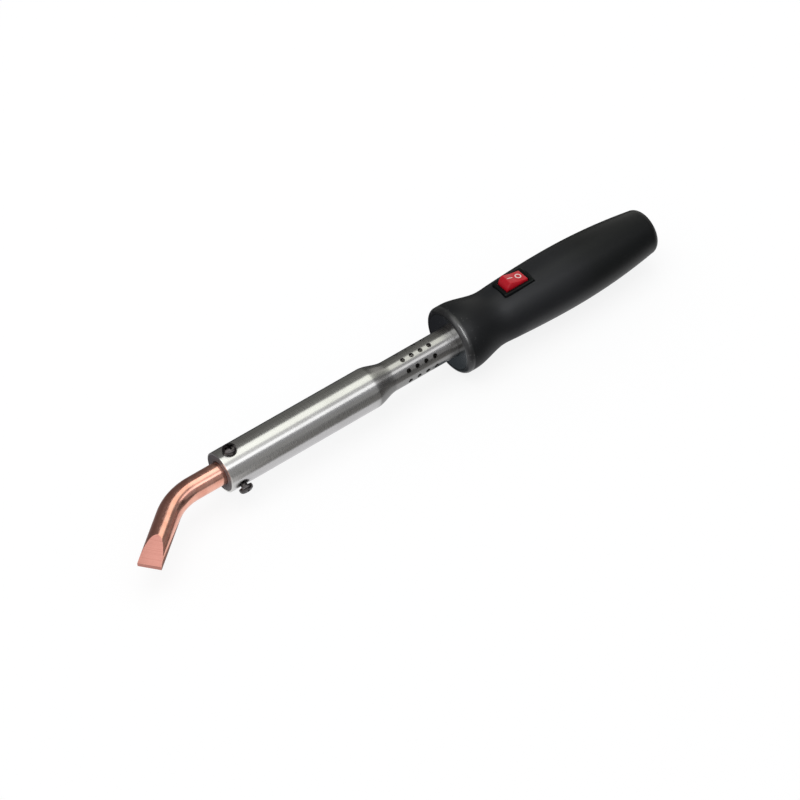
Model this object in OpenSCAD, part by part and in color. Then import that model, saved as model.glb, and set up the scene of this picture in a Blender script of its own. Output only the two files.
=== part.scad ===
// Heavy mains soldering iron with a bent chisel bit, at its real size in millimetres.
// The tool lies along X: the cord enters at the origin, the bit points to -X and the switch faces +Z.

/* [Handle] */
// Length of the handle, from the front of its rim to its rear end
handle_len = 106; // [102:1:116]
// Diameter of the rim at the front of the handle
rim_d = 30.5; // [30:0.5:34]
// Radius of the rim's front edge
rim_round = 2.2; // [1.6:0.1:2.6]
// Length of the straight band behind the rim's rounded edge
rim_band = 2.7; // [2:0.1:4]
// Thickness of the rim round the front collar
rim_wall = 2.35; // [2.2:0.05:2.6]
// Distance of the waist behind the rim's front
waist_x = 22.4; // [20:0.2:24]
// Diameter of the waist
waist_d = 24.5; // [24.2:0.1:25]
// Distance behind the rim's front where the grip starts to swell
swell_x = 28.3; // [27:0.2:30]
// Diameter where the grip starts to swell
swell_d = 25.2; // [25:0.1:25.8]
// Distance of the belly behind the rim's front
belly_x = 59; // [54:1:64]
// Diameter of the belly
belly_d = 27.4; // [27:0.2:29]
// Diameter of the handle in front of its rounded rear end
tail_d = 20.8; // [20.4:0.2:22]
// Radius of the rear end's rounded edge
tail_round = 4; // [3:0.5:4.5]
// Least wall of the hollow handle
handle_wall = 2.3; // [2.1:0.1:2.5]
// Thickness of the handle's rear end wall
end_wall = 6.5; // [5:0.5:8]

/* [Handle front] */
// How far the front collar's face lies behind the rim
collar_recess = 0.1; // [0.05:0.05:0.3]
// Depth of the shallow dish in the front collar's face
collar_dish = 0.5; // [0.2:0.1:0.7]
// Thickness of the front collar
collar_t = 3.6; // [3.4:0.1:4.2]
// Thickness of the steel flange on the neck
flange_t = 1.5; // [1:0.1:2]
// Thread diameter of the flange screws
flange_screw_d = 2; // [1.6:0.1:2.2]
// Length of the flange screws below the head
flange_screw_len = 9; // [7:0.5:10]
// Wall of the moulded bosses round the flange screws
boss_wall = 1.1; // [0.9:0.1:1.2]
// Length of the moulded bosses
boss_len = 11; // [10:0.5:13]
// Width of the flange's earth blade
earth_blade_w = 4.8; // [4:0.2:5.2]
// Length of the flange's earth blade
earth_blade_len = 8; // [7:0.5:10]

/* [Barrel] */
// Outer diameter of the barrel
barrel_d = 18; // [17.6:0.1:20]
// Length of the straight barrel
barrel_len = 73.2; // [72:0.2:80]
// Length of the swaged taper
taper_len = 11; // [9:0.5:14]
// Outer diameter of the neck
neck_d = 13.4; // [12.6:0.1:13.6]
// Length of the neck between the taper and the handle's rim
neck_len = 30.7; // [28:0.5:36]
// Wall of the barrel and neck
tube_wall = 0.8; // [0.6:0.05:0.9]
// Diameter of a vent hole
vent_d = 2.1; // [1.6:0.1:2.6]
// Rows of vent holes round the neck, an even number
vent_rows = 8; // [4:2:8]
// Vent holes in a row
vent_count = 4; // [2:1:4]
// Distance between the vent holes of a row
vent_pitch = 4.5; // [3.8:0.1:5]
// Distance of the first vent hole behind the taper
vent_start = 6.5; // [4:0.5:8]
// Turn of the first row from the switch side, towards the bit's bend
vent_turn = 14; // [0:1:22]

/* [Bit clamp] */
// Length of the collar in the barrel's mouth
nose_len = 11; // [10.5:0.5:13]
// Distance of the clamp screws behind the barrel's mouth
clamp_x = 5.7; // [5:0.1:6.5]
// Thread diameter of the clamp screws
clamp_d = 3; // [2.6:0.1:3.4]
// Head diameter of the clamp screws
clamp_head_d = 6.1; // [5.4:0.1:6.6]
// Head height of the clamp screws
clamp_head_h = 2.4; // [2:0.1:2.8]
// Height of the left clamp screw's head off the barrel
clamp_proud = 0.9; // [0:0.1:1.2]

/* [Bit] */
// Diameter of the copper rod
bit_d = 10; // [9.4:0.1:10.2]
// Length of the bit inside the barrel
bit_insert = 58; // [40:1:68]
// Distance from the barrel's mouth to the corner of the bend
bit_reach = 22.1; // [19:0.5:30]
// Distance from the corner of the bend to the edge
bit_leg = 35.4; // [30:0.5:45]
// Angle of the bend
bit_bend = 39.6; // [20:0.2:50]
// Centreline radius of the bend
bend_r = 25; // [16:1:28]
// Turn of the bend's plane below the horizontal
bit_dip = 3.5; // [0:0.5:10]
// Length of the ground flats
chisel_len = 12.5; // [9:0.5:16]
// Thickness of the blunt edge
edge_t = 1.9; // [1:0.1:2.6]

/* [Heater] */
// Wall of the steel former round the bit
former_wall = 0.55; // [0.4:0.05:0.6]
// Thickness of each mica layer
mica_t = 0.25; // [0.15:0.05:0.3]
// Diameter of the resistance wire
winding_d = 0.45; // [0.3:0.05:0.5]
// Turns of the resistance wire on its way forward, and again on its way back
winding_turns = 8; // [4:1:8]
// Thickness of the ceramic disc behind the element
disc_t = 3; // [2:0.5:3]
// Diameter of the bare leads in the neck
lead_d = 0.8; // [0.6:0.1:1]
// Distance between the two leads
lead_gap = 4.4; // [3.6:0.2:5]
// Diameter of a ceramic bead
bead_d = 3; // [2.4:0.1:3.4]
// Length of a ceramic bead
bead_len = 4.9; // [3.9:0.2:5.9]
// Beads on each lead
bead_count = 9; // [4:1:9]

/* [Switch] */
// Distance of the switch behind the rim's front
switch_x = 34.9; // [34:0.1:37]
// Height of the switch's seat above the tool's axis
seat_h = 11.7; // [11.5:0.1:11.9]
// Length of the bezel
bezel_len = 15.4; // [14.6:0.2:16.4]
// Width of the bezel
bezel_w = 9.8; // [9.4:0.2:10.6]
// Thickness of the bezel
bezel_t = 1.6; // [1.2:0.1:1.9]
// Corner radius of the bezel
bezel_round = 0.9; // [0.4:0.1:1.4]
// Length of the switch's body
switch_len = 13; // [12.8:0.1:13.6]
// Width of the switch's body
switch_w = 8.4; // [8.2:0.1:8.6]
// Depth of the switch's body below its seat
switch_h = 11; // [10.8:0.1:11.4]
// Wall at the ends of the switch's body
switch_wall = 0.6; // [0.5:0.05:0.7]
// Wall at the sides of the switch's body
switch_side_wall = 0.8; // [0.7:0.05:0.9]
// Length of the rocker's top
rocker_top = 9.2; // [9:0.1:9.4]
// Height of the middle of the rocker's top above the bezel
rocker_rise = 1.65; // [1.4:0.05:1.8]
// Slope of each half of the rocker's top, down to its middle
rocker_slope = 5; // [3:0.5:7]
// Tilt of the rocker between off and on
rock_angle = 32; // [28:1:34]
// Depth of the rocker's pivot below the bezel's top
pivot_depth = 1.1; // [1:0.05:1.2]
// Diameter of the rocker's pivot pins
pin_d = 1.2; // [1:0.1:1.3]
// Tilt of the contact lever between off and on
lever_angle = 14; // [10:1:15]
// Width of the switch's blade terminals
blade_w = 4; // [3.2:0.2:4.8]
// Thickness of the blade terminals
blade_t = 0.8; // [0.5:0.1:0.9]
// Length of the blade terminals below the body
blade_len = 5; // [4:0.2:5.4]

/* [Wiring] */
// Diameter of the insulated wires
wire_d = 1.6; // [1.2:0.1:1.8]
// Length of the terminal block
block_len = 16; // [13:0.5:18]
// Height of the terminal block
block_h = 8.4; // [8:0.2:9]
// Distance between the terminal block's poles
pole_pitch = 5; // [4.6:0.1:5.2]
// Outer diameter of a brass terminal insert
insert_d = 4; // [3.6:0.1:4.2]

/* [Cord inlet] */
// Bore of the cord bush
cord_bore = 7.2; // [6:0.1:7.6]
// Outer diameter of the cord bush
bush_d = 10; // [9.4:0.1:10.8]
// Diameter of the bush's lip inside the handle
lip_d = 12; // [11.6:0.1:13]
// Thickness of the bush's lip
lip_t = 1.4; // [1:0.1:2]

/* [Fits] */
// Radial room round the sliding bit
bit_fit = 0.15; // [0.1:0.05:0.2]
// Radial room round screws and pivots that turn or slide
run_fit = 0.06; // [0.03:0.01:0.1]
// Room between pieces that are assembled and then stay put
seat_fit = 0.05; // [0.03:0.01:0.1]
// Room between the rocker and the switch's body
rock_fit = 0.2; // [0.15:0.05:0.3]

/* [Hidden] */
$fn = 72;
eps = 0.01;

// Stations along the tool's axis, from the rear end at 0 to the barrel's mouth
rim_front = -handle_len;
taper_back = rim_front - neck_len;
taper_front = taper_back - taper_len;
mouth = taper_front - barrel_len;
collar_front = rim_front + collar_recess;
collar_back = collar_front + collar_t;
shoulder = collar_back + flange_t;
neck_back = shoulder;
switch_c = rim_front + switch_x;

// Radii of the handle
recess_r = rim_d / 2 - rim_wall;
cavity_front_r = waist_d / 2 - handle_wall;
cavity_rear_r = tail_d / 2 - handle_wall;
function cavity_r(x) =
    cavity_front_r + (cavity_rear_r - cavity_front_r) * (x - shoulder) / (-end_wall - shoulder);

// Curve through knots of [place, radius, slope], with a smooth blend between neighbours
function blend(a, b, t) =
    let (d = b[0] - a[0], u = 1 - t)
    [a[0] + d * t,
     a[1] * (1 + 2 * t) * u * u + b[1] * (3 - 2 * t) * t * t
     + d * (a[2] * t * u * u - b[2] * t * t * u)];
function curve(knots, steps) =
    [for (i = [0 : len(knots) - 2]) for (s = [0 : steps - 1]) blend(knots[i], knots[i + 1], s / steps),
     [knots[len(knots) - 1][0], knots[len(knots) - 1][1]]];
function arc(centre, r, from, to, steps) =
    [for (i = [0 : steps]) let (a = from + (to - from) * i / steps) centre + r * [cos(a), sin(a)]];
function shifted(points, d) = [for (p = points) p + [0, d]];
function reversed(list) = [for (i = [len(list) - 1 : -1 : 0]) list[i]];

// The handle's outside, from its rim to its rear end
swell_slope = 1.7 * (belly_d - swell_d) / 2 / (belly_x - swell_x);
tail_slope = -(belly_d - tail_d) / (handle_len - tail_round - belly_x);
handle_knots = [
    [rim_front + rim_round + rim_band, rim_d / 2, 0],
    [rim_front + waist_x, waist_d / 2, 0],
    [rim_front + swell_x, swell_d / 2, swell_slope],
    [rim_front + belly_x, belly_d / 2, 0],
    [-tail_round, tail_d / 2, tail_slope]
];
handle_outside = concat(
    arc([rim_front + rim_round, rim_d / 2 - rim_round], rim_round, 180, 90, 6),
    curve(handle_knots, 9),
    arc([-tail_round, tail_d / 2 - tail_round], tail_round, 75, 0, 6)
);

// The barrel's outside, from its mouth to the neck's end
tube_outside = concat(
    [[mouth, barrel_d / 2]],
    curve([[taper_front, barrel_d / 2, 0], [taper_back, neck_d / 2, 0]], 10),
    [[neck_back, neck_d / 2]]
);

// A solid of revolution about X, from points of [place, radius]
module turned(points) {
    rotate([0, 90, 0]) rotate_extrude() polygon([for (p = points) [p[1], p[0]]]);
}

module rod_x(x0, x1, d) {
    translate([x0, 0, 0]) rotate([0, 90, 0]) cylinder(d = d, h = x1 - x0);
}

module tube_x(x0, x1, outer_d, inner_d) {
    difference() {
        rod_x(x0, x1, outer_d);
        rod_x(x0 - 1, x1 + 1, inner_d);
    }
}

module box(x0, x1, y0, y1, z0, z1) {
    translate([x0, y0, z0]) cube([x1 - x0, y1 - y0, z1 - z0]);
}

// A tube swept along a path, with its rings carried from point to point without twist
function unit(v) = v / norm(v);
function headings(path) =
    [for (i = [0 : len(path) - 1]) unit(path[min(i + 1, len(path) - 1)] - path[max(i - 1, 0)])];
function across(h, n) = unit(n - (n * h) * h);
function sides_of(h) =
    [for (i = 0, n = across(h[0], abs(h[0][2]) < 0.8 ? [0, 0, 1] : [0, 1, 0]);
          i < len(h);
          i = i + 1, n = i < len(h) ? across(h[i], n) : n) n];

module swept(path, d, sides) {
    h = headings(path);
    n = sides_of(h);
    last = len(path) - 1;
    points = [for (i = [0 : last]) for (k = [0 : sides - 1])
        path[i] + d / 2 * (n[i] * cos(360 * k / sides) + cross(h[i], n[i]) * sin(360 * k / sides))];
    skin = [for (i = [0 : last - 1]) for (k = [0 : sides - 1]) let (
        a = i * sides + k,
        b = i * sides + (k + 1) % sides,
        c = a + sides,
        e = b + sides
    ) each [[a, c, b], [b, c, e]]];
    front = [for (k = [1 : sides - 2]) [0, k, k + 1]];
    back = [for (k = [1 : sides - 2]) [last * sides, last * sides + k + 1, last * sides + k]];
    polyhedron(points, concat(skin, front, back));
}

// A smooth path through points chosen by hand
function between(p, i, t) =
    let (a = p[max(i - 1, 0)], b = p[i], c = p[i + 1], d = p[min(i + 2, len(p) - 1)])
    0.5 * (2 * b + (c - a) * t + (2 * a - 5 * b + 4 * c - d) * t * t + (3 * b - a - 3 * c + d) * t * t * t);
function smooth(p, steps) =
    [for (i = [0 : len(p) - 2]) for (s = [0 : steps - 1]) between(p, i, s / steps), p[len(p) - 1]];

module wire(points, d) {
    swept(smooth(points, 5), d, 8);
}

// The bent copper bit
bend_run = bend_r * tan(bit_bend / 2);
bend_start = mouth - bit_reach + bend_run;
leg_len = bit_leg - bend_run;
// The bend is a hair thinner than the rod, and its ends run into the rod and into the leg
bend_d = bit_d - 0.06;
bend_lap = 1;

module chisel_cut() {
    rotate([90, 0, 90]) linear_extrude(height = 2 * bit_d, center = true) polygon([
        [leg_len - chisel_len, bit_d / 2],
        [leg_len, edge_t / 2],
        [leg_len + 1, edge_t / 2],
        [leg_len + 1, bit_d],
        [leg_len - chisel_len, bit_d]
    ]);
}

module bit_leg_solid() {
    difference() {
        rotate([-90, 0, 0]) cylinder(d = bit_d, h = leg_len);
        chisel_cut();
        mirror([0, 0, 1]) chisel_cut();
    }
}

module bent_end() {
    rotate([0, 0, -bend_lap]) rotate_extrude(angle = bit_bend + 2 * bend_lap)
        translate([bend_r, 0]) circle(d = bend_d);
    rotate([0, 0, bit_bend]) translate([bend_r, 0, 0]) bit_leg_solid();
}

module copper_bit() {
    color("#c98562") {
        rod_x(bend_start, mouth + bit_insert, bit_d);
        translate([bend_start, 0, 0]) rotate([bit_dip, 0, 0]) rotate([0, 0, 90])
            translate([-bend_r, 0, 0]) bent_end();
    }
}

// Clamp screws, at their places round the barrel's mouth
clamp_turns = [0, 120, -120];
clamp_seat_r = barrel_d / 2 + seat_fit;
clamp_tip_r = bit_d / 2 + seat_fit;
clamp_head_edge = 0.3 * clamp_head_h;
recess_w = 0.13 * clamp_head_d;
recess_len = 0.55 * clamp_head_d;
recess_depth = 0.55 * clamp_head_h;

module at_clamp(turn) {
    rotate([turn, 0, 0]) translate([mouth + clamp_x, 0, 0]) children();
}

function pan_head(r, h, edge) = concat(
    [[0, 0], [r, 0]],
    [for (a = [90 : -15 : 15]) [r * pow(sin(a), 0.8), edge + (h - edge) * pow(cos(a), 0.8)]],
    [[0, h]]
);

module clamp_screw(turn, proud = 0) {
    seat = clamp_seat_r + proud;
    top = seat + clamp_head_h;
    color("#2b2a2c") at_clamp(turn) {
        difference() {
            translate([0, 0, seat]) rotate_extrude()
                polygon(pan_head(clamp_head_d / 2, clamp_head_h, clamp_head_edge));
            translate([-clamp_head_d, -recess_w / 2, top - recess_depth / 2])
                cube([2 * clamp_head_d, recess_w, clamp_head_h]);
            translate([-recess_w / 2, -recess_len / 2, top - recess_depth])
                cube([recess_w, recess_len, clamp_head_h]);
            translate([-recess_len / 2, -recess_w / 2, top - recess_depth])
                cube([recess_len, recess_w, clamp_head_h]);
        }
        translate([0, 0, clamp_tip_r]) cylinder(d = clamp_d, h = seat - clamp_tip_r);
    }
}

module bit_screw_top() {
    clamp_screw(clamp_turns[0]);
}

module bit_screw_left() {
    clamp_screw(clamp_turns[1], clamp_proud);
}

module bit_screw_right() {
    clamp_screw(clamp_turns[2]);
}

module clamp_holes() {
    for (turn = clamp_turns) at_clamp(turn) cylinder(d = clamp_d + 2 * run_fit, h = barrel_d);
}

module nose_collar() {
    color("#4c4a49") difference() {
        tube_x(mouth + seat_fit, mouth + nose_len,
            barrel_d - 2 * (tube_wall + seat_fit), bit_d + 2 * bit_fit);
        clamp_holes();
    }
}

module vent_holes() {
    for (row = [0 : vent_rows / 2 - 1]) for (i = [0 : vent_count - 1])
        rotate([vent_turn + row * 360 / vent_rows, 0, 0])
            translate([taper_back + vent_start + i * vent_pitch, 0, 0])
                cylinder(d = vent_d, h = 2 * neck_d, center = true);
}

module barrel() {
    color("#b9b9b6") difference() {
        turned(concat(tube_outside, reversed(shifted(tube_outside, -tube_wall))));
        clamp_holes();
        vent_holes();
    }
}

// The heating element, layer on layer round the bit
heater_front = mouth + nose_len + 0.3;
heater_back = taper_front - disc_t - 0.9;
heater_len = heater_back - heater_front;
former_in = bit_d + 2 * bit_fit;
former_out = former_in + 2 * former_wall;
inner_mica_in = former_out + 2 * seat_fit;
inner_mica_out = inner_mica_in + 2 * mica_t;
steps_per_turn = 18;
winding_r = (inner_mica_out / 2 + seat_fit + winding_d / 2) / cos(180 / steps_per_turn);
outer_mica_in = 2 * winding_r + winding_d + 2 * seat_fit;
outer_mica_out = outer_mica_in + 2 * mica_t;
sleeve_in = outer_mica_out + 2 * seat_fit;
sleeve_out = barrel_d - 2 * tube_wall - 2 * seat_fit;
disc_front = heater_back + seat_fit;
disc_back = disc_front + disc_t;
tail_end = disc_back + 1.5;

module heater_former() {
    color("#77726c") tube_x(heater_front, heater_back, former_out, former_in);
}

module inner_mica() {
    color("#cbb98c") tube_x(heater_front, heater_back, inner_mica_out, inner_mica_in);
}

module outer_mica() {
    color("#cbb98c") tube_x(heater_front, heater_back, outer_mica_out, outer_mica_in);
}

module heater_sleeve() {
    color("#e4ded0") tube_x(heater_front, heater_back, sleeve_out, sleeve_in);
}

// The resistance wire winds forward, turns back in a hairpin and winds rearwards between its own turns.
// Its path is drawn on the unrolled cylinder as [along the girth, along the axis].
girth = 2 * PI * winding_r;
coil_margin = 2;
tail_bend = 1.2;
coil_back = heater_back - coil_margin - tail_bend;
coil_pitch = (heater_len - 2 * coil_margin - tail_bend) / (winding_turns + 0.5);
coil_run = winding_turns * girth;
coil_steps = winding_turns * steps_per_turn;
function coil_forward(u) = coil_back - coil_pitch * u / girth;
coil_path = concat(
    [[-tail_bend, tail_end], [-tail_bend, heater_back], [-tail_bend, coil_back + tail_bend]],
    arc([0, coil_back + tail_bend], tail_bend, 210, 240, 1),
    [for (i = [0 : coil_steps]) let (u = coil_run * i / coil_steps) [u, coil_forward(u)]],
    arc([coil_run, coil_forward(coil_run) - coil_pitch / 4], coil_pitch / 4, 60, -60, 4),
    [for (i = [coil_steps : -1 : -steps_per_turn / 2])
        let (u = coil_run * i / coil_steps) [u, coil_forward(u) - coil_pitch / 2]],
    arc([-girth / 2, coil_back + tail_bend], tail_bend, 240, 210, 1),
    [[-girth / 2 - tail_bend, coil_back + tail_bend], [-girth / 2 - tail_bend, heater_back],
     [-girth / 2 - tail_bend, tail_end]]
);
function rolled(p) =
    let (a = 360 * (p[0] + tail_bend) / girth)
    [p[1], winding_r * cos(a), winding_r * sin(a)];

module heater_winding() {
    color("#8d8a86") swept([for (p = coil_path) rolled(p)], winding_d, 6);
}

// The two tails of the winding leave the element on opposite sides, +Y and -Y
module heater_end_disc() {
    color("#efe9dc") difference() {
        rod_x(disc_front, disc_back, sleeve_out);
        for (side = [-1, 1]) translate([0, side * winding_r, 0])
            rod_x(disc_front - 1, disc_back + 1, winding_d + 4 * seat_fit);
    }
}

bead_front = taper_back - 4;
bead_step = bead_len + seat_fit;
bead_back = bead_front + bead_count * bead_step;
crimp_front = max(bead_back, neck_back) + 3;
crimp_len = 7;
crimp_back = crimp_front + crimp_len;
crimp_d = wire_d + 1.4;
crimp_grip = 3;

module heater_lead(side) {
    y = side * lead_gap / 2;
    sweep_in = curve([[tail_end + 0.5, side * winding_r, 0], [bead_front - 0.3, y, 0]], 8);
    color("#a9a6a0") swept(concat(
        [[tail_end + seat_fit, side * winding_r, 0]],
        [for (p = sweep_in) [p[0], p[1], 0]],
        [[crimp_front + crimp_grip, y, 0]]
    ), lead_d, 8);
}

module heater_lead_live() {
    heater_lead(-1);
}

module heater_lead_neutral() {
    heater_lead(1);
}

module lead_beads() {
    color("#f1ece0") for (side = [-1, 1]) for (i = [0 : bead_count - 1])
        translate([bead_front + i * bead_step, side * lead_gap / 2, 0])
            tube_x(0, bead_len, bead_d, lead_d + 4 * seat_fit);
}

module lead_crimps() {
    color("#c9c6bd") for (side = [-1, 1]) translate([0, side * lead_gap / 2, 0])
        tube_x(crimp_front, crimp_back, crimp_d, wire_d + 2 * seat_fit);
}

// Flange, front collar and handle
flange_turns = [0, 120, -120];
flange_screw_r = (recess_r + neck_d / 2) / 2;
flange_head_d = 1.65 * flange_screw_d;
flange_head_h = 0.65 * flange_screw_d;
boss_d = flange_screw_d + 2 * boss_wall;
earth_blade_r = 1.18 * neck_d / 2;
earth_blade_back = shoulder + earth_blade_len;

module at_flange_screws() {
    for (turn = flange_turns) rotate([turn, 0, 0]) translate([0, 0, flange_screw_r]) children();
}

module neck_flange() {
    color("#a7a8a6") {
        difference() {
            tube_x(collar_back, shoulder, 2 * (recess_r - 2 * seat_fit), neck_d + 2 * seat_fit);
            at_flange_screws() rod_x(collar_back - 1, shoulder + 1, flange_screw_d + 4 * seat_fit);
        }
        box(shoulder, earth_blade_back, -earth_blade_w / 2, earth_blade_w / 2,
            -earth_blade_r - blade_t / 2, -earth_blade_r + blade_t / 2);
    }
}

module flange_screws() {
    color("#8f908e") at_flange_screws() {
        difference() {
            translate([collar_back - seat_fit, 0, 0]) rotate([0, -90, 0]) rotate_extrude()
                polygon(pan_head(flange_head_d / 2, flange_head_h, flange_head_h / 3));
            box(collar_back - 2 * flange_head_h, collar_back - flange_head_h / 2,
                -flange_head_d, flange_head_d, -flange_screw_d / 8, flange_screw_d / 8);
        }
        rod_x(collar_back - seat_fit, collar_back + flange_screw_len, flange_screw_d);
    }
}

module front_collar() {
    outer = recess_r - 2 * seat_fit;
    inner = neck_d / 2 + 2 * seat_fit;
    color("#5c5e60") difference() {
        turned([
            [collar_front, outer],
            [collar_back, outer],
            [collar_back, inner],
            [collar_front + collar_dish, inner]
        ]);
        at_flange_screws() rod_x(collar_back - flange_head_h - 3 * seat_fit, collar_back + 1,
            flange_head_d + 8 * seat_fit);
    }
}

module handle_shell() {
    cutout = 2 * seat_fit;
    color("#242627") difference() {
        union() {
            turned(concat(
                [[rim_front, recess_r]],
                handle_outside,
                [[0, bush_d / 2 + seat_fit], [-end_wall, bush_d / 2 + seat_fit], [-end_wall, cavity_rear_r],
                 [shoulder, cavity_front_r], [shoulder, recess_r]]
            ));
            at_flange_screws() rod_x(shoulder, shoulder + boss_len, boss_d);
        }
        at_flange_screws() rod_x(shoulder - 1, shoulder + boss_len - 1, flange_screw_d + 2 * seat_fit);
        box(switch_c - bezel_len / 2 - cutout, switch_c + bezel_len / 2 + cutout,
            -bezel_w / 2 - cutout, bezel_w / 2 + cutout, seat_h, rim_d);
        box(switch_c - switch_len / 2 - cutout, switch_c + switch_len / 2 + cutout,
            -switch_w / 2 - cutout, switch_w / 2 + cutout, 0, seat_h + 1);
    }
}

// A push-on receptacle, open along X, that grips a blade lying flat in the XY plane
receptacle_wall = 0.6;
module receptacle(len, width, thick) {
    room = 2 * seat_fit;
    difference() {
        box(0, len, -width / 2 - receptacle_wall - room, width / 2 + receptacle_wall + room,
            -thick / 2 - receptacle_wall - room, thick / 2 + receptacle_wall + room);
        box(-1, len - receptacle_wall, -width / 2 - room, width / 2 + room,
            -thick / 2 - room, thick / 2 + room);
    }
}

earth_receptacle_len = 6;
earth_receptacle_front = earth_blade_back - earth_receptacle_len + receptacle_wall + 2 * seat_fit;
earth_receptacle_back = earth_receptacle_front + earth_receptacle_len;

module earth_receptacle() {
    color("#c8a24e") translate([earth_receptacle_front, 0, -earth_blade_r])
        receptacle(earth_receptacle_len, earth_blade_w, blade_t);
}

// Rocker switch
floor_t = 1.2;
switch_floor = seat_h - switch_h + floor_t;
body_bottom = seat_h - switch_h;
inner_len = switch_len - 2 * switch_wall;
inner_w = switch_w - 2 * switch_side_wall;
pivot_z = seat_h + bezel_t - pivot_depth;
rocker_r = inner_len / 2 - rock_fit;
rocker_w = inner_w - 2 * rock_fit;
rocker_valley = (pivot_depth + rocker_rise) / cos(rock_angle / 2);
rocker_skirt = 1.6;
post_d = 3.8;
post_bottom = 5.6;
spring_bore = 2.5;
spring_top = 0.7;
plunger_tip = 7.4;
plunger_top = 3.8;
load_x = switch_len / 3;
lever_z = pivot_z - plunger_tip - 0.7;
lever_plate = 0.5;
lever_lift = 0.1;
lever_roll_d = 1;
lever_len = inner_len - 2;
lever_w = 3.2;
contact_d = 1.8;
contact_h = 0.4;

module rounded_plate(len, width, r, t) {
    linear_extrude(height = t) {
        square([len - 2 * r, width], center = true);
        square([len, width - 2 * r], center = true);
        for (sx = [-1, 1]) for (sy = [-1, 1])
            translate([sx * (len / 2 - r), sy * (width / 2 - r)]) circle(r = r);
    }
}

module in_switch() {
    translate([switch_c, 0, 0]) children();
}

// A profile in the switch's XZ plane, extruded along Y
module across_y(width) {
    rotate([90, 0, 0]) linear_extrude(height = width, center = true) children();
}

module pin_y(d, width) {
    rotate([90, 0, 0]) cylinder(d = d, h = width, center = true);
}

ear_h = 1.8;
ear_out = 0.5;
ear_w = 4;

module switch_ears() {
    top = cavity_r(switch_c + switch_len / 2) - 4 * seat_fit;
    for (side = [-1, 1]) across_y(ear_w) polygon([
        [side * (switch_len / 2 - eps), top],
        [side * (switch_len / 2 + ear_out), top],
        [side * (switch_len / 2 - eps), top - ear_h]
    ]);
}

module switch_housing() {
    slot_t = blade_t + 2 * seat_fit;
    slot_w = blade_w + 2 * seat_fit;
    color("#17181a") in_switch() difference() {
        union() {
            translate([0, 0, seat_h]) rounded_plate(bezel_len, bezel_w, bezel_round, bezel_t);
            box(-switch_len / 2, switch_len / 2, -switch_w / 2, switch_w / 2, body_bottom, seat_h);
            switch_ears();
        }
        box(-inner_len / 2, inner_len / 2, -inner_w / 2, inner_w / 2, switch_floor, seat_h + bezel_t + 1);
        translate([0, 0, pivot_z]) pin_y(pin_d + 2 * run_fit, switch_w + 2 * run_fit);
        for (x = [0, load_x])
            box(x - slot_t / 2, x + slot_t / 2, -slot_w / 2, slot_w / 2, body_bottom - 1, switch_floor + 1);
    }
}

// Pieces on the rocker are drawn level about its pivot and then tilted to the off position
module on_rocker() {
    in_switch() translate([0, 0, pivot_z]) rotate([0, rock_angle / 2, 0]) children();
}

// The rocker's outline: round about its pivot inside the body, and leaning inwards above it
module rocker_outline() {
    waist = rocker_r / 4;
    intersection() {
        circle(r = rocker_r);
        translate([-rocker_r, -rocker_skirt]) square([2 * rocker_r, rocker_skirt + waist]);
    }
    waist_half = sqrt(rocker_r * rocker_r - waist * waist);
    crest = rocker_valley + rocker_top / 2 * tan(rocker_slope);
    polygon([[-waist_half, waist], [waist_half, waist], [rocker_top / 2, crest], [0, rocker_valley],
             [-rocker_top / 2, crest]]);
}

module switch_rocker() {
    color("#d3141c") on_rocker() difference() {
        union() {
            across_y(rocker_w) rocker_outline();
            translate([0, 0, -post_bottom]) cylinder(d = post_d, h = post_bottom - rocker_skirt + eps);
            pin_y(pin_d, switch_w);
        }
        translate([0, 0, -post_bottom - 1]) cylinder(d = spring_bore, h = post_bottom + 1 + spring_top);
    }
}

module rocker_plunger() {
    tip_h = 0.6;
    body_d = spring_bore - 4 * seat_fit;
    color("#e8e4d8") on_rocker() translate([0, 0, -plunger_tip]) {
        cylinder(d1 = body_d / 2, d2 = body_d, h = tip_h);
        translate([0, 0, tip_h]) cylinder(d = body_d, h = plunger_tip - plunger_top - tip_h);
    }
}

spring_wire = 0.3;
spring_turns = 5;
spring_steps = 10;

module rocker_spring() {
    r = (spring_bore - spring_wire) / 2 - 2 * seat_fit;
    low = -plunger_top + spring_wire / 2 + seat_fit;
    high = spring_top - spring_wire / 2 - seat_fit;
    count = spring_turns * spring_steps;
    color("#b4b5b7") on_rocker() swept(
        [for (i = [0 : count]) let (a = 360 * i / spring_steps)
            [r * cos(a), r * sin(a), low + (high - low) * i / count]],
        spring_wire, 6);
}

// The lever rocks on the common terminal, the other way from the rocker
module contact_lever() {
    color("#c8a24e") in_switch() translate([0, 0, lever_z]) rotate([0, -lever_angle / 2, 0]) {
        box(-lever_len / 2, lever_len / 2, -lever_w / 2, lever_w / 2, lever_lift, lever_lift + lever_plate);
        pin_y(lever_roll_d, lever_w);
        translate([load_x, 0, lever_lift - contact_h]) cylinder(d = contact_d, h = contact_h + eps);
    }
}

module switch_blade(x, top) {
    box(x - blade_t / 2, x + blade_t / 2, -blade_w / 2, blade_w / 2, body_bottom - blade_len, top);
}

module switch_terminal_common() {
    cradle_h = 1.1;
    cradle_len = 2;
    cradle_low = lever_z - cradle_h + lever_lift;
    color("#c8a24e") in_switch() difference() {
        union() {
            switch_blade(0, cradle_low + eps);
            box(-cradle_len / 2, cradle_len / 2, -blade_w / 2, blade_w / 2,
                cradle_low, lever_z - lever_lift);
        }
        translate([0, 0, lever_z]) pin_y(lever_roll_d + 2 * run_fit, 2 * blade_w);
    }
}

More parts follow.
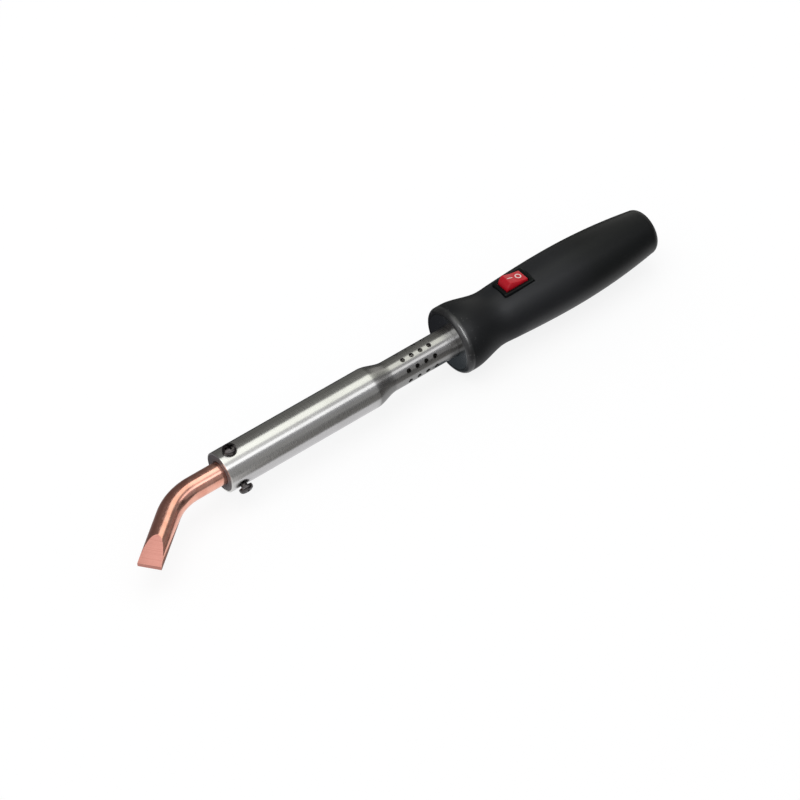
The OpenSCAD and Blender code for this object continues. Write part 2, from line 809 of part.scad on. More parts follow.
module switch_terminal_load() {
    tab_t = 0.4;
    tab_len = 2.4;
    meeting = lever_z + lever_lift - contact_h - load_x * sin(lever_angle / 2) - 0.15;
    tab_top = meeting - contact_h;
    color("#c8a24e") in_switch() {
        switch_blade(load_x, tab_top - tab_t + eps);
        box(load_x - tab_len / 2, load_x + tab_len / 2, -blade_w / 2, blade_w / 2,
            tab_top - tab_t, tab_top);
        translate([load_x, 0, tab_top - eps]) cylinder(d = contact_d, h = contact_h + eps);
    }
}

receptacle_len = blade_len + receptacle_wall;
receptacle_top = body_bottom - 0.2;
receptacle_bottom = receptacle_top - receptacle_len;

module switch_receptacles() {
    color("#c8a24e") in_switch() for (x = [0, load_x])
        translate([x, 0, receptacle_top]) rotate([0, 90, 0])
            receptacle(receptacle_len, blade_w, blade_t);
}

// Terminal block behind the switch, with a pole each for live, earth and neutral
block_front = -0.425 * handle_len;
block_back = block_front + block_len;
block_r = cavity_r(block_back) - 4 * seat_fit;
pole_y = [-pole_pitch, 0, pole_pitch];
insert_bore = wire_d + 0.8;
terminal_screw_d = 1.6;
terminal_head_d = 2.6;
terminal_head_h = 1.2;
terminal_tip = insert_bore / 2 - 0.2;
terminal_places = [for (y = pole_y) for (share = [0.25, 0.75]) [block_front + share * block_len, y]];

module terminal_block() {
    color("#e9e6dc") difference() {
        intersection() {
            rod_x(block_front, block_back, 2 * block_r);
            box(block_front - 1, block_back + 1, -block_r, block_r, -block_h / 2, block_h / 2);
        }
        for (y = pole_y) translate([0, y, 0])
            rod_x(block_front - 1, block_back + 1, insert_d + 2 * seat_fit);
        for (p = terminal_places) translate([p[0], p[1], 0])
            cylinder(d = terminal_head_d + 4 * seat_fit, h = block_h);
    }
}

module terminal_inserts() {
    color("#c8a24e") for (y = pole_y) difference() {
        translate([0, y, 0]) tube_x(block_front + 0.5, block_back - 0.5, insert_d, insert_bore);
        for (p = terminal_places) translate([p[0], p[1], 0])
            cylinder(d = terminal_screw_d + 2 * seat_fit, h = insert_d);
    }
}

module terminal_screws() {
    head_low = block_h / 2 - terminal_head_h;
    color("#a7a8a6") for (p = terminal_places) translate([p[0], p[1], 0]) difference() {
        union() {
            translate([0, 0, terminal_tip])
                cylinder(d = terminal_screw_d, h = head_low - terminal_tip + eps);
            translate([0, 0, head_low]) cylinder(d = terminal_head_d, h = terminal_head_h);
        }
        box(-terminal_head_d, terminal_head_d, -terminal_screw_d / 8, terminal_screw_d / 8,
            block_h / 2 - terminal_head_h / 2, block_h);
    }
}

// Insulated wires inside the handle, in lanes between the switch and the handle's wall
wire_start = crimp_back - crimp_grip;
wire_end = block_front + block_len / 4;
blade_exit = receptacle_bottom - seat_fit;
load_exit = switch_c + load_x;
lane = cavity_rear_r;
switch_half = 0.54 * switch_len;

module wire_load() {
    color("#7a4a2b") wire([
        [load_exit, 0, blade_exit],
        [load_exit, 0, blade_exit - 0.06 * lane],
        [load_exit, 0, blade_exit - 0.12 * lane],
        [load_exit - switch_half / 4, -0.15 * lane, -0.9 * lane],
        [switch_c - switch_half / 7, -0.18 * lane, -0.92 * lane],
        [switch_c - switch_half, -0.27 * lane, -0.74 * lane],
        [crimp_back + 0.4 * lane, -lead_gap / 2, -0.15 * lane],
        [crimp_back + 0.15 * lane, -lead_gap / 2, 0],
        [crimp_back, -lead_gap / 2, 0],
        [wire_start, -lead_gap / 2, 0]
    ], wire_d);
}

module wire_live() {
    color("#7a4a2b") wire([
        [switch_c, 0, blade_exit],
        [switch_c, 0, blade_exit - 0.06 * lane],
        [switch_c, 0, blade_exit - 0.12 * lane],
        [switch_c + switch_half / 4, 0.2 * lane, -0.9 * lane],
        [switch_c + switch_half, 0.22 * lane, -0.88 * lane],
        [switch_c + 2 * switch_half, -0.3 * lane, -0.68 * lane],
        [block_front - 0.37 * lane, -pole_pitch, -0.07 * lane],
        [block_front, -pole_pitch, 0],
        [wire_end, -pole_pitch, 0]
    ], wire_d);
}

module wire_neutral() {
    color("#2b5fa8") wire([
        [wire_start, lead_gap / 2, 0],
        [crimp_back, lead_gap / 2, 0],
        [crimp_back + 0.15 * lane, lead_gap / 2, 0],
        [crimp_back + 0.5 * lane, 0.5 * lane, 0.06 * lane],
        [switch_c - 0.9 * switch_half, 0.82 * lane, 0.12 * lane],
        [switch_c + 0.9 * switch_half, 0.82 * lane, 0.12 * lane],
        [block_front - 1.2 * lane, 0.7 * lane, 0.06 * lane],
        [block_front - 0.25 * lane, pole_pitch, 0],
        [wire_end, pole_pitch, 0]
    ], wire_d);
}

module wire_earth() {
    color("#5f9a3c") wire([
        [earth_receptacle_back + seat_fit, 0, -earth_blade_r],
        [earth_receptacle_back + 0.12 * lane, 0, -earth_blade_r],
        [earth_receptacle_back + 0.25 * lane, 0, -earth_blade_r],
        [earth_receptacle_back + lane, 0.37 * lane, -0.86 * lane],
        [switch_c - switch_half, 0.64 * lane, -0.69 * lane],
        [switch_c + switch_half, 0.64 * lane, -0.69 * lane],
        [block_front - 1.1 * lane, 0.25 * lane, -0.37 * lane],
        [block_front - 0.25 * lane, 0, 0],
        [wire_end, 0, 0]
    ], wire_d);
}

module cord_bush() {
    color("#1b1c1d") {
        difference() {
            union() {
                rod_x(-end_wall - lip_t - seat_fit, 0, bush_d);
                rod_x(-end_wall - lip_t - seat_fit, -end_wall - seat_fit, lip_d);
            }
            rod_x(-end_wall - lip_t - 1, 1, cord_bore);
        }
    }
}

copper_bit();
bit_screw_top();
bit_screw_left();
bit_screw_right();
nose_collar();
barrel();
heater_former();
inner_mica();
heater_winding();
outer_mica();
heater_sleeve();
heater_end_disc();
heater_lead_live();
heater_lead_neutral();
lead_beads();
lead_crimps();
neck_flange();
flange_screws();
front_collar();
handle_shell();
earth_receptacle();
switch_housing();
switch_rocker();
rocker_plunger();
rocker_spring();
contact_lever();
switch_terminal_common();
switch_terminal_load();
switch_receptacles();
terminal_block();
terminal_inserts();
terminal_screws();
wire_live();
wire_load();
wire_neutral();
wire_earth();
cord_bush();
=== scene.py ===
# %% [markdown]
# # A soldering iron with a bent copper bit
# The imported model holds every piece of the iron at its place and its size. This lesson dresses it: the
# pieces that show are made again with soft edges and smooth shading, and every piece gets a finish made of
# nodes. Everything is in metres, in the model's own frame: the iron lies along X, its bit points to -X, and
# its switch faces +Z. Sizes of pieces are written in millimetres, because that is how a maker would measure
# them.

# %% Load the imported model
import math
import bmesh
import bpy
from mathutils import Matrix, Vector


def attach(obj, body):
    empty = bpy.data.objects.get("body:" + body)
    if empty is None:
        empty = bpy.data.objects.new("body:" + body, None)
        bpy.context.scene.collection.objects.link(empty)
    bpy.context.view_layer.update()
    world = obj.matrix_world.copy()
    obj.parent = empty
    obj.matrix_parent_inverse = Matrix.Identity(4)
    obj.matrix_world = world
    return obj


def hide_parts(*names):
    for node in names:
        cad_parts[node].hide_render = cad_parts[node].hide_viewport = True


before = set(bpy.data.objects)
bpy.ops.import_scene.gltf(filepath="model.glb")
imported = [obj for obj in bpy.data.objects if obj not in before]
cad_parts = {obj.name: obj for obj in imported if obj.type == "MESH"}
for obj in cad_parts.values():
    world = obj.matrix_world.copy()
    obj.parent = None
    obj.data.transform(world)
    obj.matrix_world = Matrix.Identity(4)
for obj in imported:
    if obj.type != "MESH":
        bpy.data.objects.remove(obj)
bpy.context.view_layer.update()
scene = bpy.context.scene
scene.view_settings.view_transform = "Standard"
MM = 0.001

# %% [markdown]
# ## The camera
# The photograph was taken from the front left and above, from about 1.4 m with a long lens. A camera can be
# placed by eye with a Track To constraint, but the photograph is also tilted a little about the line of
# sight, so the camera's three axes are written out. Its right is found from up and back, which keeps them
# square.

# %% Camera
def place(x, y, z):
    """A point in millimetres, in the model's frame."""
    return Vector((x, y, z)) * MM


def add_object(name, data):
    """An object at the origin, in the scene."""
    made = bpy.data.objects.new(name, data)
    scene.collection.objects.link(made)
    return made


view_back = Vector((-0.3795, -0.5885, 0.7139)).normalized()
view_right = Vector((0.4626, 0.5476, 0.6973)).cross(view_back).normalized()
view_up = view_back.cross(view_right)
camera_lens = bpy.data.cameras.new("photo_camera")
camera_lens.lens = 153.4
camera_lens.sensor_width = 36.0
camera_lens.clip_start = 0.01
camera = add_object("photo_camera", camera_lens)
turn = Matrix((view_right, view_up, view_back)).transposed().to_4x4()
camera.matrix_world = Matrix.Translation(place(-668.8, -832.2, 992.6)) @ turn
scene.camera = camera
print("camera looks down by", round(math.degrees(math.asin(view_back.z)), 1), "degrees")

# %% [markdown]
# ## Light and background
# The object stands on white. The world is white to the camera and to mirror rays, and gives softer light to
# matt surfaces; one large lamp overhead gives them a direction. A long thin lamp draws the highlight on the
# rim of the handle: light linking lets it light the handle alone. A round metal tube shows whatever stands
# around it as stripes, so a studio puts light and dark panels along it. They are written here by their
# angle about the tool: 0 is overhead, 90 is level on the camera's side. Two narrow dark ones stand in front
# of the others, to draw a line along the barrel. A wall beyond the rear end completes them, and two dark
# cards near the floor are a painted shadow of the tool, for the bit and the front disc to mirror. All are
# seen in mirror rays alone. A short helper makes every node in this lesson and joins it to the ones before
# it.

# %% Helpers for nodes
def feed(tree, node, inputs):
    """Gives a node's inputs values, or sockets to link from."""
    for name, value in inputs.items():
        if isinstance(value, bpy.types.NodeSocket):
            tree.links.new(value, node.inputs[name])
        else:
            node.inputs[name].default_value = value


def add_node(tree, kind, inputs=None, **settings):
    """A node with its inputs, given as values or as sockets to link from, and its settings."""
    node = tree.nodes.new(kind)
    for name, value in settings.items():
        setattr(node, name, value)
    feed(tree, node, inputs or {})
    return node


def figure(tree, operation, *values):
    """The result of an operation on numbers or sockets."""
    return add_node(tree, "ShaderNodeMath", dict(enumerate(values)), operation=operation).outputs[0]


def seen_share(tree, share):
    """A factor for what the camera sees, directly, in a mirror or through glass."""
    ray = add_node(tree, "ShaderNodeLightPath")
    factor = ray.outputs["Is Camera Ray"]
    for kind in ("Is Glossy Ray", "Is Transmission Ray"):
        factor = figure(tree, "MAXIMUM", factor, ray.outputs[kind])
    return figure(tree, "MULTIPLY", factor, share)


def mix_into(tree, output, factor, first, second):
    """Sends a mix of two shaders to an output: the second one where the factor is 1."""
    mix = add_node(tree, "ShaderNodeMixShader", {0: factor, 1: first.outputs[0], 2: second.outputs[0]})
    feed(tree, output, {"Surface": mix.outputs[0]})


# %% World
WHITE = (1.0, 1.0, 1.0, 1.0)
ROOM_LIGHT, BACKDROP_LIGHT = 0.62, 1.0
world = bpy.data.worlds.new("white_studio")
scene.world = world
world.use_nodes = True
sky = world.node_tree
sky.nodes.clear()
room = add_node(sky, "ShaderNodeBackground", {"Color": WHITE, "Strength": ROOM_LIGHT})
backdrop = add_node(sky, "ShaderNodeBackground", {"Color": WHITE, "Strength": BACKDROP_LIGHT})
mix_into(sky, add_node(sky, "ShaderNodeOutputWorld"), seen_share(sky, 1.0), room, backdrop)
print("world nodes:", len(sky.nodes))

# %% Lamps
def area_lamp(name, size, watts, location):
    """A rectangular lamp of a width and a length in metres."""
    light = bpy.data.lights.new(name, "AREA")
    light.shape = "RECTANGLE"
    light.size, light.size_y = size
    light.energy = watts
    lamp = add_object(name, light)
    lamp.location = location
    return lamp


overhead_lamp = area_lamp("overhead_lamp", (1.6, 1.0), 5.0, (-0.15, 0.12, 1.2))
overhead_lamp.rotation_euler = (math.radians(-5), 0.0, 0.0)
rim_lamp = area_lamp("rim_lamp", (0.12, 0.4), 2.1, (-0.148, -0.255, 0.325))
rim_lamp.visible_diffuse = False
lit_rim = place(-104.5, -9.7, 11.7)
rim_lamp.rotation_euler = (lit_rim - rim_lamp.location).to_track_quat("-Z", "Y").to_euler()
rim_only = bpy.data.collections.new("lit_by_rim_lamp")
rim_lamp.light_linking.receiver_collection = rim_only
print("lamps:", overhead_lamp.data.energy, "W overhead,", rim_lamp.data.energy, "W on the rim")

# %% Helpers for panels
def glow(name, colour):
    """A material that only gives off one colour of light, for panels."""
    material = bpy.data.materials.new(name)
    material.use_nodes = True
    tree = material.node_tree
    tree.nodes.clear()
    emission = add_node(tree, "ShaderNodeEmission", {"Color": (*colour, 1.0)})
    add_node(tree, "ShaderNodeOutputMaterial", {"Surface": emission.outputs[0]})
    return material


def mirror_only(name, corners, faces, colour):
    """A glowing panel that only mirror rays can see."""
    mesh = bpy.data.meshes.new(name)
    mesh.from_pydata(corners, [], faces)
    mesh.materials.append(glow(name + "_glow", colour))
    made = add_object(name, mesh)
    made.visible_camera = False
    made.visible_diffuse = False
    made.visible_shadow = False
    made.visible_transmission = False


FLOOR_Z = -15.3 * MM
PANEL_DISTANCE, PANEL_STEP, SHARE_TO_FLOOR = 0.45, 3, 0.98
SLANT, SLANT_CHANGE = 0.53, 0.87
CARD_Z = FLOOR_Z / MM + 0.6


def mirrored_at(station, away):
    """Where along X a place on the tool sees something, by its distance from the tool.

    Seen from the camera, mirror rays slant along the tool, and the slant changes along it.
    """
    return station + (SLANT + SLANT_CHANGE * station) * away


def panel(name, start, end, first, last, colour, nearer=1.0):
    """A long curved panel between two angles about the tool, for the stretch of the tool that mirrors it.

    A share below 1 for nearer puts it in front of the other panels.
    """
    steps = max(2, round((end - start) / PANEL_STEP))
    corners = []
    for i in range(steps + 1):
        a = math.radians(start + (end - start) * i / steps)
        to_floor = SHARE_TO_FLOOR * FLOOR_Z / math.cos(a) if math.cos(a) < 0 else PANEL_DISTANCE
        away = nearer * min(PANEL_DISTANCE, to_floor)
        for station in (first, last):
            corners.append((mirrored_at(station, away), -away * math.sin(a), away * math.cos(a)))
    mirror_only(name, corners, [(2 * i, 2 * i + 1, 2 * i + 3, 2 * i + 2) for i in range(steps)], colour)


def card(name, low, high, colour):
    """A dark card just above the floor, between two corners in millimetres: a painted shadow of the tool, for
    mirror rays.
    """
    corners = [place(x, y, CARD_Z) for x, y in (low, (high[0], low[1]), high, (low[0], high[1]))]
    mirror_only(name, corners, [(0, 1, 2, 3)], colour)


# %% Panels along the tool
MOUTH_STATION = -0.2225
zones = {"bit": (-1.2, MOUTH_STATION), "tool": (MOUTH_STATION, 0.008), "far": (0.008, 0.8)}
bands = [
    (-165, -100, {"bit": (0.2, 0.19, 0.2), "tool": (0.046, 0.047, 0.053), "far": (0.07, 0.07, 0.075)}),
    (-100, -60, {"bit": (0.13, 0.12, 0.12), "tool": (0.17, 0.172, 0.16), "far": (0.9, 0.88, 0.84)}),
    (-60, -24, {"bit": (0.16, 0.15, 0.15), "tool": (0.21, 0.212, 0.197), "far": (0.7, 0.68, 0.65)}),
    (-24, 10, {"bit": (1.9, 1.9, 1.86), "tool": (1.3, 1.32, 1.2), "far": (0.22, 0.22, 0.21)}),
    (10, 29, {"bit": (1.3, 1.29, 1.28), "tool": (0.4, 0.4, 0.41), "far": (0.22, 0.22, 0.22)}),
    (29, 46, {"bit": (2.2, 2.2, 2.25), "tool": (1.48, 1.48, 1.52), "far": (0.3, 0.3, 0.3)}),
    (46, 62, {"bit": (0.38, 0.37, 0.37), "tool": (0.38, 0.385, 0.41), "far": (0.1, 0.1, 0.1)}),
    (62, 86, {"bit": (0.42, 0.41, 0.4), "tool": (0.31, 0.31, 0.315), "far": (0.08, 0.08, 0.08)}),
    (86, 118, {"bit": (0.92, 0.9, 0.9), "tool": (0.18, 0.175, 0.17), "far": (0.08, 0.08, 0.08)}),
]
for start, end, colours in bands:
    for zone, colour in colours.items():
        panel(f"panel_{zone}_{start}", start, end, *zones[zone], colour)
panel("panel_under_barrel", 118, 195, MOUTH_STATION, -0.15, (0.82, 0.81, 0.84))
panel("panel_under_neck", 118, 195, -0.15, -0.08, (0.58, 0.58, 0.59))
IN_FRONT = 0.97
panel("shade_along_barrel", 84, 97, MOUTH_STATION, -0.05, (0.07, 0.07, 0.07), IN_FRONT)
panel("shade_at_mouth", 84, 97, -0.27, MOUTH_STATION, (0.38, 0.38, 0.38), IN_FRONT)
wall_corners = [(1.1, y, z) for y, z in ((-0.6, -0.01), (0.1, -0.01), (0.1, 0.41), (-0.6, 0.41))]
mirror_only("far_wall", wall_corners, [(0, 1, 2, 3)], (0.36, 0.3, 0.29))
# Painted shadow: dark cards under the bit's leg and under the neck stand for the tool's shadow on the floor,
# as mirror rays see it.
card("painted_shadow_under_leg", (-268.0, -28.0), (-238.0, 22.0), (0.24, 0.22, 0.22))
card("painted_shadow_under_neck", (-113.5, -12.0), (-106.0, 14.0), (0.088, 0.1, 0.11))
print("panels of", len(bands), "bands made")

# %% Floor
FLOOR_LIGHT, FLOOR_SHARE, FLOOR_HALF = 1.06, 0.8, 4
floor_mesh = bpy.data.meshes.new("floor")
floor_ends = (-FLOOR_HALF, FLOOR_HALF)
floor_mesh.from_pydata([(x, y, FLOOR_Z) for x in floor_ends for y in floor_ends], [], [(0, 2, 3, 1)])
floor_finish = bpy.data.materials.new("white_floor")
floor_finish.use_nodes = True
floor_tree = floor_finish.node_tree
floor_shader = floor_tree.nodes["Principled BSDF"]
feed(floor_tree, floor_shader, {
    "Base Color": (0.9, 0.9, 0.91, 1.0), "Roughness": 0.9, "Specular IOR Level": 0.0})
floor_white = add_node(floor_tree, "ShaderNodeEmission", {"Color": WHITE, "Strength": FLOOR_LIGHT})
floor_out = floor_tree.nodes["Material Output"]
mix_into(floor_tree, floor_out, seen_share(floor_tree, FLOOR_SHARE), floor_shader, floor_white)
floor_mesh.materials.append(floor_finish)
add_object("floor", floor_mesh)
print("floor at", FLOOR_Z)

# %% [markdown]
# ## Finishes
# A real surface is never one flat colour. Each finish here starts from the same small recipe: noise at the
# size of the material's own grain shifts its colour and its roughness a little and lifts it as a bump.
# Stretching the noise turns grain into lines, as on turned or ground metal. What makes a finish special is
# added after.

# %% The recipe for a finish
GRAIN_LEVELS, GRAIN_DEPTH = (0.3, 0.7), 0.05


def object_place(tree):
    """The place on the piece itself, which every pattern here follows."""
    return add_node(tree, "ShaderNodeTexCoord").outputs["Object"]


def surface(name, dark, light, rough, grain, bump=0.1, stretch=(1, 1, 1), metallic=0.0, sockets=None):
    """A finish with grain of a given size in millimetres, between two colours and two roughnesses."""
    material = bpy.data.materials.new(name)
    material.use_nodes = True
    tree = material.node_tree
    scale = [s / (grain * MM) for s in stretch]
    spread = add_node(tree, "ShaderNodeMapping", {"Vector": object_place(tree), "Scale": scale})
    noise = add_node(tree, "ShaderNodeTexNoise", {
        "Vector": spread.outputs["Vector"], "Scale": 1.0, "Detail": 5.0, "Roughness": 0.6})
    grains = noise.outputs["Fac"]
    ramp = add_node(tree, "ShaderNodeValToRGB", {"Fac": grains})
    for stop, level, colour in zip(ramp.color_ramp.elements, GRAIN_LEVELS, (dark, light)):
        stop.position = level
        stop.color = (*colour, 1.0)
    gloss = add_node(tree, "ShaderNodeMapRange", {
        "Value": grains, "From Min": GRAIN_LEVELS[0], "From Max": GRAIN_LEVELS[1],
        "To Min": rough[0], "To Max": rough[1]})
    lift = add_node(tree, "ShaderNodeBump", {
        "Height": grains, "Strength": bump, "Distance": GRAIN_DEPTH * grain * MM})
    feed(tree, tree.nodes["Principled BSDF"], {
        "Base Color": ramp.outputs["Color"], "Roughness": gloss.outputs["Result"],
        "Normal": lift.outputs["Normal"], "Metallic": metallic, **(sockets or {})})
    return material


def overlay(material, factor, colour):
    """Lays a second colour over a finish, as far as a factor says."""
    tree = material.node_tree
    shader = tree.nodes["Principled BSDF"]
    under = shader.inputs["Base Color"].links[0].from_socket
    mix = add_node(tree, "ShaderNodeMix", {0: factor, 6: under, 7: (*colour, 1.0)}, data_type="RGBA")
    feed(tree, shader, {"Base Color": mix.outputs[2]})


def blotches(material, scale, detail, low, high, amount):
    """A factor that rises from 0 to an amount between two levels of noise."""
    tree = material.node_tree
    noise = add_node(tree, "ShaderNodeTexNoise", {
        "Vector": object_place(tree), "Scale": scale, "Detail": detail})
    cover = add_node(tree, "ShaderNodeMapRange", {
        "Value": noise.outputs["Fac"], "From Min": low, "From Max": high, "To Max": amount})
    return cover.outputs["Result"]


def stain(material, colour, size, low, high, amount):
    """Lays blotches of a second colour over a finish, at a size in millimetres."""
    overlay(material, blotches(material, 1.0 / (size * MM), 3.0, low, high, amount), colour)


# %% Metal finishes
def metal(*recipe):
    """A finish of bare metal."""
    return surface(*recipe, metallic=1.0)


stainless = metal("bright_stainless", (0.598, 0.598, 0.583), (0.622, 0.622, 0.607), (0.26, 0.29),
                  0.6, 0.003, (1.0, 0.02, 0.02))
stain(stainless, (0.5, 0.495, 0.48), 14.0, 0.52, 0.75, 0.5)
barrel_inside = surface("scaled_steel", (0.022, 0.02, 0.019), (0.05, 0.045, 0.042), (0.55, 0.7), 0.8, 0.1,
                        metallic=0.4)
shield_steel = metal("smooth_dark_steel", (0.235, 0.24, 0.245), (0.27, 0.275, 0.28), (0.16, 0.22), 0.5, 0.02)
copper = metal("polished_copper", (0.8, 0.385, 0.29), (0.89, 0.49, 0.39), (0.14, 0.22), 3.0, 0.04)
stain(copper, (0.6, 0.21, 0.145), 9.0, 0.52, 0.78, 0.6)
ground_copper = metal("ground_copper", (0.47, 0.21, 0.172), (0.58, 0.285, 0.238), (0.42, 0.56), 0.35, 0.25)
dark_steel = surface("dark_turned_steel", (0.12, 0.112, 0.12), (0.18, 0.17, 0.18), (0.46, 0.56), 0.5, 0.05,
                     metallic=0.45)
black_oxide = metal("black_oxide_steel", (0.056, 0.052, 0.052), (0.1, 0.093, 0.093), (0.12, 0.2), 0.4, 0.05)
brass = metal("stamped_brass", (0.62, 0.42, 0.15), (0.74, 0.53, 0.22), (0.25, 0.4), 0.6, 0.05)
zinc = metal("zinc_plate", (0.5, 0.51, 0.52), (0.62, 0.62, 0.61), (0.28, 0.42), 0.8, 0.05)
nickel = metal("nickel_wire", (0.5, 0.49, 0.45), (0.6, 0.58, 0.54), (0.25, 0.38), 0.5, 0.04)
spring_wire = metal("spring_wire", (0.5, 0.5, 0.52), (0.6, 0.6, 0.62), (0.2, 0.3), 0.4, 0.04)
heat_steel = metal("heat_tinted_steel", (0.28, 0.25, 0.24), (0.44, 0.4, 0.34), (0.35, 0.5), 6.0, 0.04)
heater_wire = metal("heater_wire", (0.26, 0.25, 0.23), (0.4, 0.39, 0.37), (0.4, 0.55), 0.5, 0.05)
print("metal finishes made")

# %% Plastic, ceramic and other finishes
handle_plastic = surface("matt_black_plastic", (0.0045, 0.0055, 0.0058), (0.0065, 0.0078, 0.0082),
                         (0.38, 0.48), 0.22, 0.16, sockets={"Specular IOR Level": 0.2})
bezel_plastic = surface("gloss_black_plastic", (0.003, 0.0045, 0.0045), (0.005, 0.007, 0.007), (0.2, 0.28),
                        0.6, 0.03, sockets={"Specular IOR Level": 0.16})
red_plastic = surface("gloss_red_plastic", (0.5, 0.006, 0.016), (0.56, 0.009, 0.022), (0.2, 0.28), 1.2, 0.03,
                      sockets={"Specular IOR Level": 0.35})
mark_white = surface("white_mark_ink", (0.8, 0.66, 0.62), (0.88, 0.76, 0.72), (0.35, 0.45), 0.3, 0.05)
nylon = surface("ivory_nylon", (0.74, 0.7, 0.6), (0.83, 0.8, 0.71), (0.4, 0.5), 0.7, 0.06)
ceramic = surface("plain_ceramic", (0.8, 0.76, 0.67), (0.9, 0.87, 0.8), (0.55, 0.7), 0.6, 0.1)
# Painted shade: the lead beads are plain ceramic, painted dark as the shade inside the barrel.
beads_painted_light_and_shade = surface("ceramic_painted_light_and_shade", (0.03, 0.027, 0.024), (0.07, 0.062, 0.055), (0.6, 0.75), 0.6, 0.1)
mica = surface("mica_paper", (0.56, 0.48, 0.3), (0.74, 0.66, 0.46), (0.25, 0.4), 2.5, 0.05)
brown_cover = surface("brown_insulation", (0.15, 0.06, 0.03), (0.2, 0.09, 0.05), (0.45, 0.6), 0.8, 0.08)
blue_cover = surface("blue_insulation", (0.03, 0.1, 0.36), (0.05, 0.15, 0.46), (0.45, 0.6), 0.8, 0.08)
green_cover = surface("green_insulation", (0.1, 0.3, 0.05), (0.14, 0.38, 0.07), (0.45, 0.6), 0.8, 0.08)
stain(green_cover, (0.7, 0.58, 0.05), 3.0, 0.48, 0.52, 1.0)
bush_rubber = surface("black_rubber", (0.011, 0.011, 0.012), (0.016, 0.016, 0.017), (0.6, 0.72), 0.3, 0.14)
print("other finishes made")

# %% [markdown]
# ### Handling marks and turning lines
# Some changes follow the place along the tool: the handle is painted lighter over its belly and waist as a
# painted sheen, and is rubbed smooth on its rim, with a few pale specks where it is knocked; the barrel's
# taper and neck are painted darker, as painted shade in their reflections.
# The lathe leaves rings: on the barrel they stretch the highlights, and on the ring in its mouth they show
# as circles, which come from the distance to the tool's axis. The flats of the bit have straight grinding
# lines.

# %% Helpers for changes along the tool, specks and lines
def share_along(material, first, last, axis="X"):
    """A factor that goes from 0 to 1 between two places along an axis, in millimetres."""
    tree = material.node_tree
    split = add_node(tree, "ShaderNodeSeparateXYZ", {0: object_place(tree)})
    ramp = add_node(tree, "ShaderNodeMapRange", {
        "Value": split.outputs[axis], "From Min": first * MM, "From Max": last * MM},
        interpolation_type="SMOOTHSTEP")
    return ramp.outputs["Result"]


def tint_along(material, colour, first, last, amount, axis="X"):
    """Shifts a finish towards a second colour between two places along an axis."""
    share = share_along(material, first, last, axis)
    overlay(material, figure(material.node_tree, "MULTIPLY", share, amount), colour)


def gloss_along(material, first, last):
    """Adds a clear gloss over a finish between two places along the tool, as rubbing does."""
    tree = material.node_tree
    feed(tree, tree.nodes["Principled BSDF"], {
        "Coat Weight": share_along(material, first, last), "Coat Roughness": 0.32})


def turned_sheen(material, amount):
    """Stretches highlights along the tool, as the fine rings of the lathe do."""
    tree = material.node_tree
    around = add_node(tree, "ShaderNodeTangent", direction_type="RADIAL", axis="X")
    feed(tree, tree.nodes["Principled BSDF"], {
        "Tangent": around.outputs[0], "Anisotropic": amount, "Anisotropic Rotation": 0.25})


SPECKS_PER_METRE = 900.0


def specks_near_rim(material, rim, reach, colour):
    """Scatters small specks over a finish, more of them towards the rim."""
    share = share_along(material, rim + reach, rim)
    specks = blotches(material, SPECKS_PER_METRE, 2.0, 0.65, 0.73, 0.8)
    overlay(material, figure(material.node_tree, "MULTIPLY", share, specks), colour)


LINE_DEPTH, LINE_LEVELS, LINE_SHARE = 0.1, (0.5, 0.7), 0.6


def lines_in(material, direction, spacing, strength, shade):
    """Fine darker lines across a direction, or circles about the tool's axis where no direction is given."""
    tree = material.node_tree
    shader = tree.nodes["Principled BSDF"]
    where = object_place(tree)
    if direction is None:
        across = add_node(tree, "ShaderNodeVectorMath", {0: where, 1: (0.0, 1.0, 1.0)}, operation="MULTIPLY")
        measure = add_node(tree, "ShaderNodeVectorMath", {0: across.outputs["Vector"]}, operation="LENGTH")
    else:
        measure = add_node(tree, "ShaderNodeVectorMath", {0: where, 1: direction}, operation="DOT_PRODUCT")
    noise = add_node(tree, "ShaderNodeTexNoise", {
        "W": measure.outputs["Value"], "Scale": 1.0 / (spacing * MM), "Detail": 3.0}, noise_dimensions="1D")
    lines = noise.outputs["Fac"]
    under = shader.inputs["Normal"].links[0].from_socket
    lift = add_node(tree, "ShaderNodeBump", {
        "Height": lines, "Normal": under, "Strength": strength,
        "Distance": LINE_DEPTH * spacing * MM})
    feed(tree, shader, {"Normal": lift.outputs["Normal"]})
    deep = add_node(tree, "ShaderNodeMapRange", {
        "Value": lines, "From Min": LINE_LEVELS[0], "From Max": LINE_LEVELS[1], "To Max": LINE_SHARE})
    overlay(material, deep.outputs["Result"], shade)


# %% Marks and lines on the finishes
BIT_BEND = math.radians(39.6)
BIT_DIP = math.radians(3.5)
bend_side = Vector((0.0, -math.cos(BIT_DIP), -math.sin(BIT_DIP)))
leg_way = Vector((-math.cos(BIT_BEND), 0.0, 0.0)) + bend_side * math.sin(BIT_BEND)
# Painted sheen: a lighter colour from the belly to the waist stands for the sheen of bright panels there;
# towards the rim it goes back to plain black.
tint_along(handle_plastic, (0.02, 0.021, 0.025), -32.0, -54.0, 0.5)
tint_along(handle_plastic, (0.006, 0.007, 0.008), -78.0, -92.0, 0.8)
gloss_along(handle_plastic, -102.8, -103.8)
specks_near_rim(handle_plastic, -106.0, 13.0, (0.09, 0.09, 0.095))
# Painted shade: the taper and the neck are painted darker than the rest of the barrel, standing for the
# darker reflections they show.
tint_along(stainless, (0.3, 0.297, 0.29), -147.6, -146.2, 0.9)
tint_along(stainless, (0.46, 0.455, 0.445), -138.4, -136.6, 0.95)
turned_sheen(stainless, 0.85)
